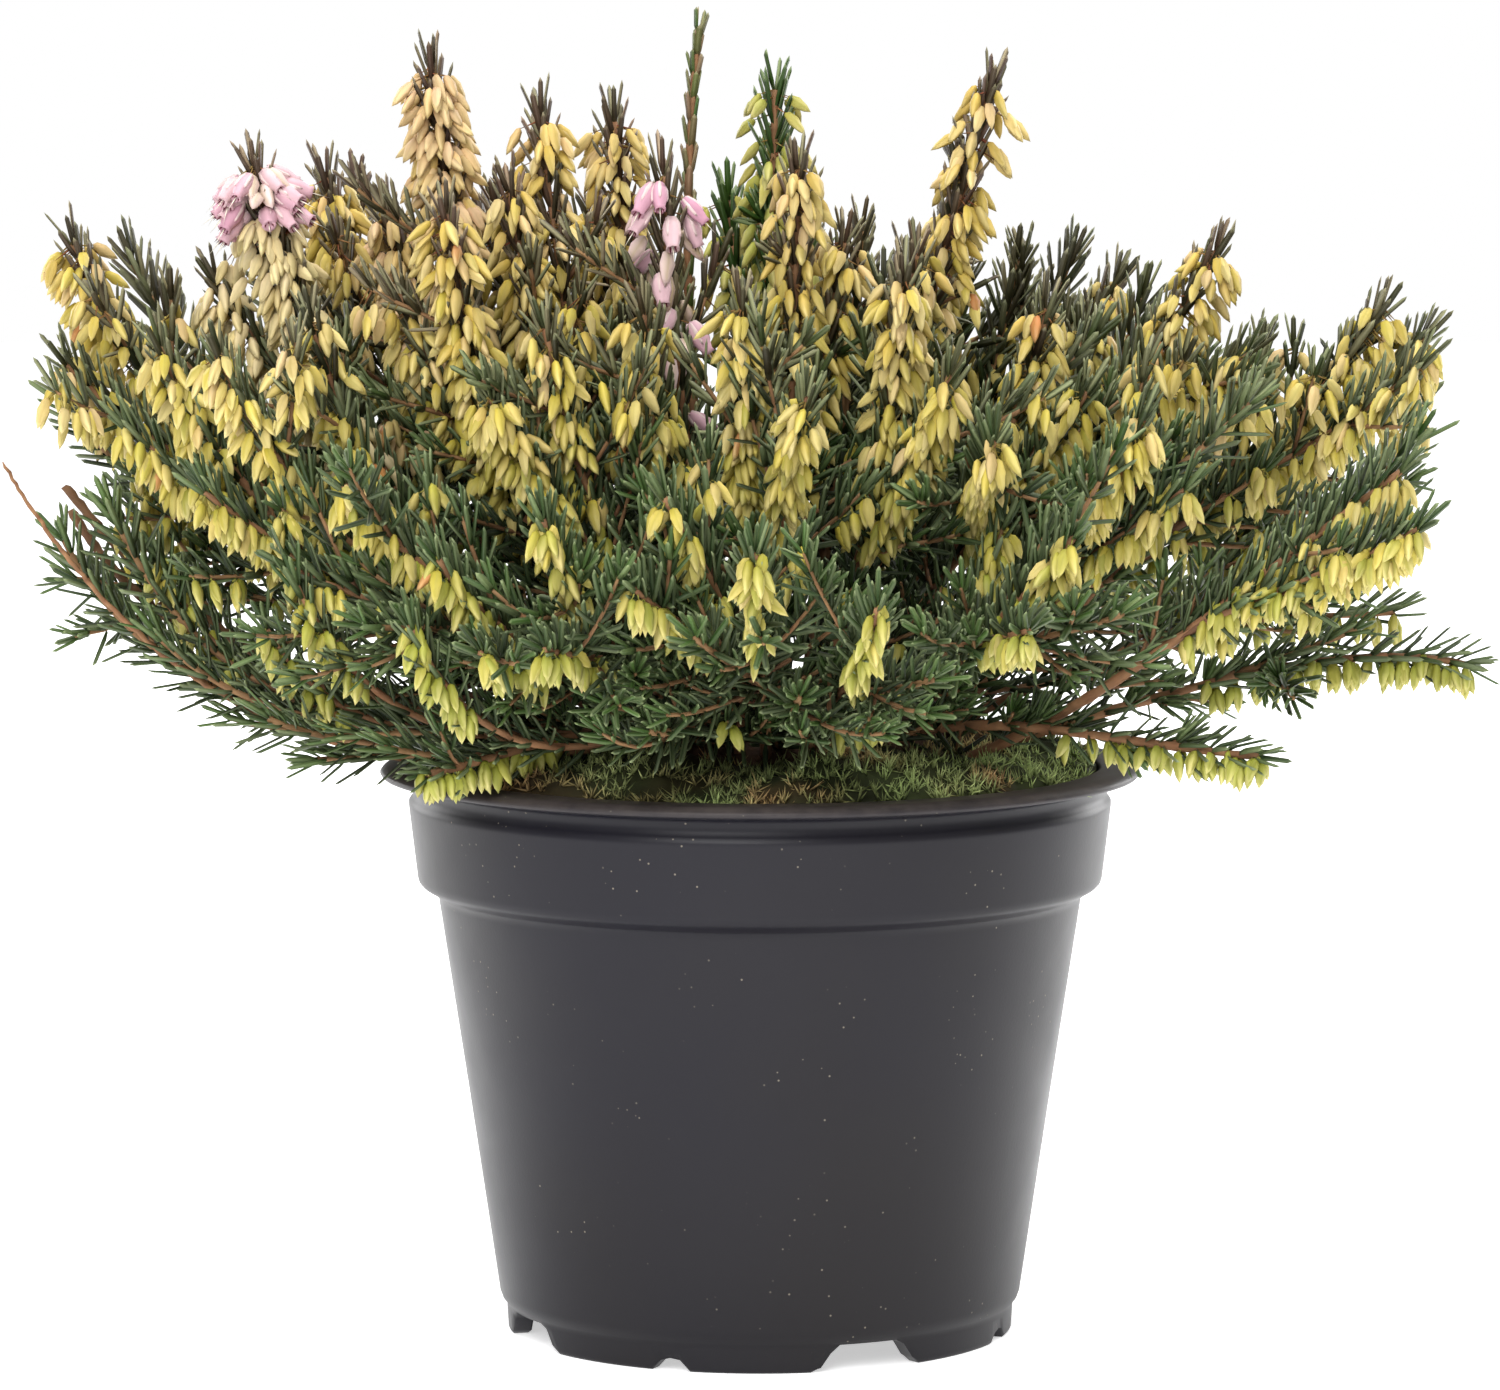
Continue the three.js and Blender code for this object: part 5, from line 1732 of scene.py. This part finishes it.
@dataclass
class Studio:
    """The camera, the lights, the pale floor and the white surroundings."""

    camera_at: Triple = (-1.7, -1200.0, 237.0)
    pitch_down: float = 6.08
    lens: float = 169.3
    sensor: float = 36.0
    floor_half: float = 3000.0
    surround: float = 0.56
    aim: Triple = (0.0, 0.0, 120.0)
    softboxes: tuple = (
        ("softbox_front", (-300, -1300, 900), (900, 900), 20.0),
        ("softbox_top", (100, 100, 1500), (1400, 1400), 26.0),
        ("softbox_left", (-950, 1150, 600), (700, 1100), 12.0),
        ("softbox_right", (950, 1150, 600), (700, 1100), 12.0),
    )

    def build(self) -> None:
        """Sets up the whole studio."""
        self.camera()
        self.floor()
        for name, at, size, watts in self.softboxes:
            self.light(name, at, size, watts)
        self.surroundings()
        bpy.context.scene.view_settings.view_transform = "Standard"

    def camera(self) -> None:
        """The camera at the photograph's place and angle."""
        data = bpy.data.cameras.new("camera")
        data.lens, data.sensor_width, data.sensor_fit = self.lens, self.sensor, "HORIZONTAL"
        data.clip_start, data.clip_end = 0.05, 20.0
        camera = bpy.data.objects.new("camera", data)
        camera.location = np.array(self.camera_at) * METRES
        camera.rotation_euler = (math.radians(90 - self.pitch_down), 0.0, 0.0)
        bpy.context.scene.collection.objects.link(camera)
        bpy.context.scene.camera = camera

    def floor(self) -> None:
        """A plain pale floor."""
        h = self.floor_half
        skin = Skin()
        corners = np.array([(-h, -h, 0), (h, -h, 0), (h, h, 0), (-h, h, 0)], dtype=float)
        skin.add(corners, np.array([[0, 1, 2], [0, 2, 3]]), np.full((4, 3), 0.9), 0)
        skin.write("studio_floor", [StudioFinish().make()])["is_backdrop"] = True

    def light(self, name: str, at: tuple, size: tuple, watts: float) -> None:
        """A soft rectangular light that faces the plant."""
        data = bpy.data.lights.new(name, "AREA")
        data.shape, data.size, data.size_y = "RECTANGLE", size[0] * METRES, size[1] * METRES
        data.energy = watts
        lamp = bpy.data.objects.new(name, data)
        place = np.array(at, dtype=float) * METRES
        lamp.location = place
        aim = unit(np.array(self.aim) * METRES - place)
        lamp.rotation_euler = (math.acos(-aim[2]), 0.0, math.atan2(aim[1], aim[0]) - math.pi / 2)
        bpy.context.scene.collection.objects.link(lamp)

    def surroundings(self) -> None:
        """White behind the plant, and a dimmer white for the light that falls on it."""
        world = bpy.data.worlds.new("studio")
        bpy.context.scene.world = world
        world.use_nodes = True
        nodes, links = world.node_tree.nodes, world.node_tree.links
        nodes.clear()
        seen, falling = nodes.new("ShaderNodeBackground"), nodes.new("ShaderNodeBackground")
        for shade, strength in ((seen, 1.0), (falling, self.surround)):
            shade.inputs["Color"].default_value = (1, 1, 1, 1)
            shade.inputs["Strength"].default_value = strength
        path, mix = nodes.new("ShaderNodeLightPath"), nodes.new("ShaderNodeMixShader")
        out = nodes.new("ShaderNodeOutputWorld")
        links.new(path.outputs["Is Camera Ray"], mix.inputs[0])
        links.new(falling.outputs[0], mix.inputs[1])
        links.new(seen.outputs[0], mix.inputs[2])
        links.new(mix.outputs[0], out.inputs["Surface"])


@dataclass
class PottedHeath:
    """The whole plant in its pot."""

    finishes: Finishes
    planting: Planting

    def set_in(self, piece: Piece, node: str) -> None:
        """Lets a piece stand for its CAD node, on the one body."""
        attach(piece, "root")
        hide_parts(node)
        log.info("%s stands for %s", piece.name, node)

    def build(self) -> None:
        """Builds the pot, the root ball, the moss and every stem."""
        self.set_in(NurseryPot().build(self.finishes), "pot")
        self.set_in(RootBall(self.planting).build(self.finishes), "soil")
        self.set_in(MossCushion(self.planting).build(self.finishes), "moss")
        needles, buds, wood = Needles(), Buds(), Wood()
        for i, (name, r, shoots) in enumerate(self.planting.lay_out()):
            stem = LeafyStem(name, shoots, 1000 + i, needles, buds, wood)
            self.set_in(stem.build(self.finishes), name)


def corners() -> list[list[float]]:
    """The lowest and highest corner of what is shown, as plain numbers."""
    return [[float(c) for c in corner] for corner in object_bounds()]


def main() -> None:
    """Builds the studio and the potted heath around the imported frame."""
    logging.basicConfig(level=logging.INFO, format="%(name)s: %(message)s")
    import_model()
    Studio().build()
    PottedHeath(Finishes.make(), Planting()).build()
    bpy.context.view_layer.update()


if __name__ == "__main__":
    main()
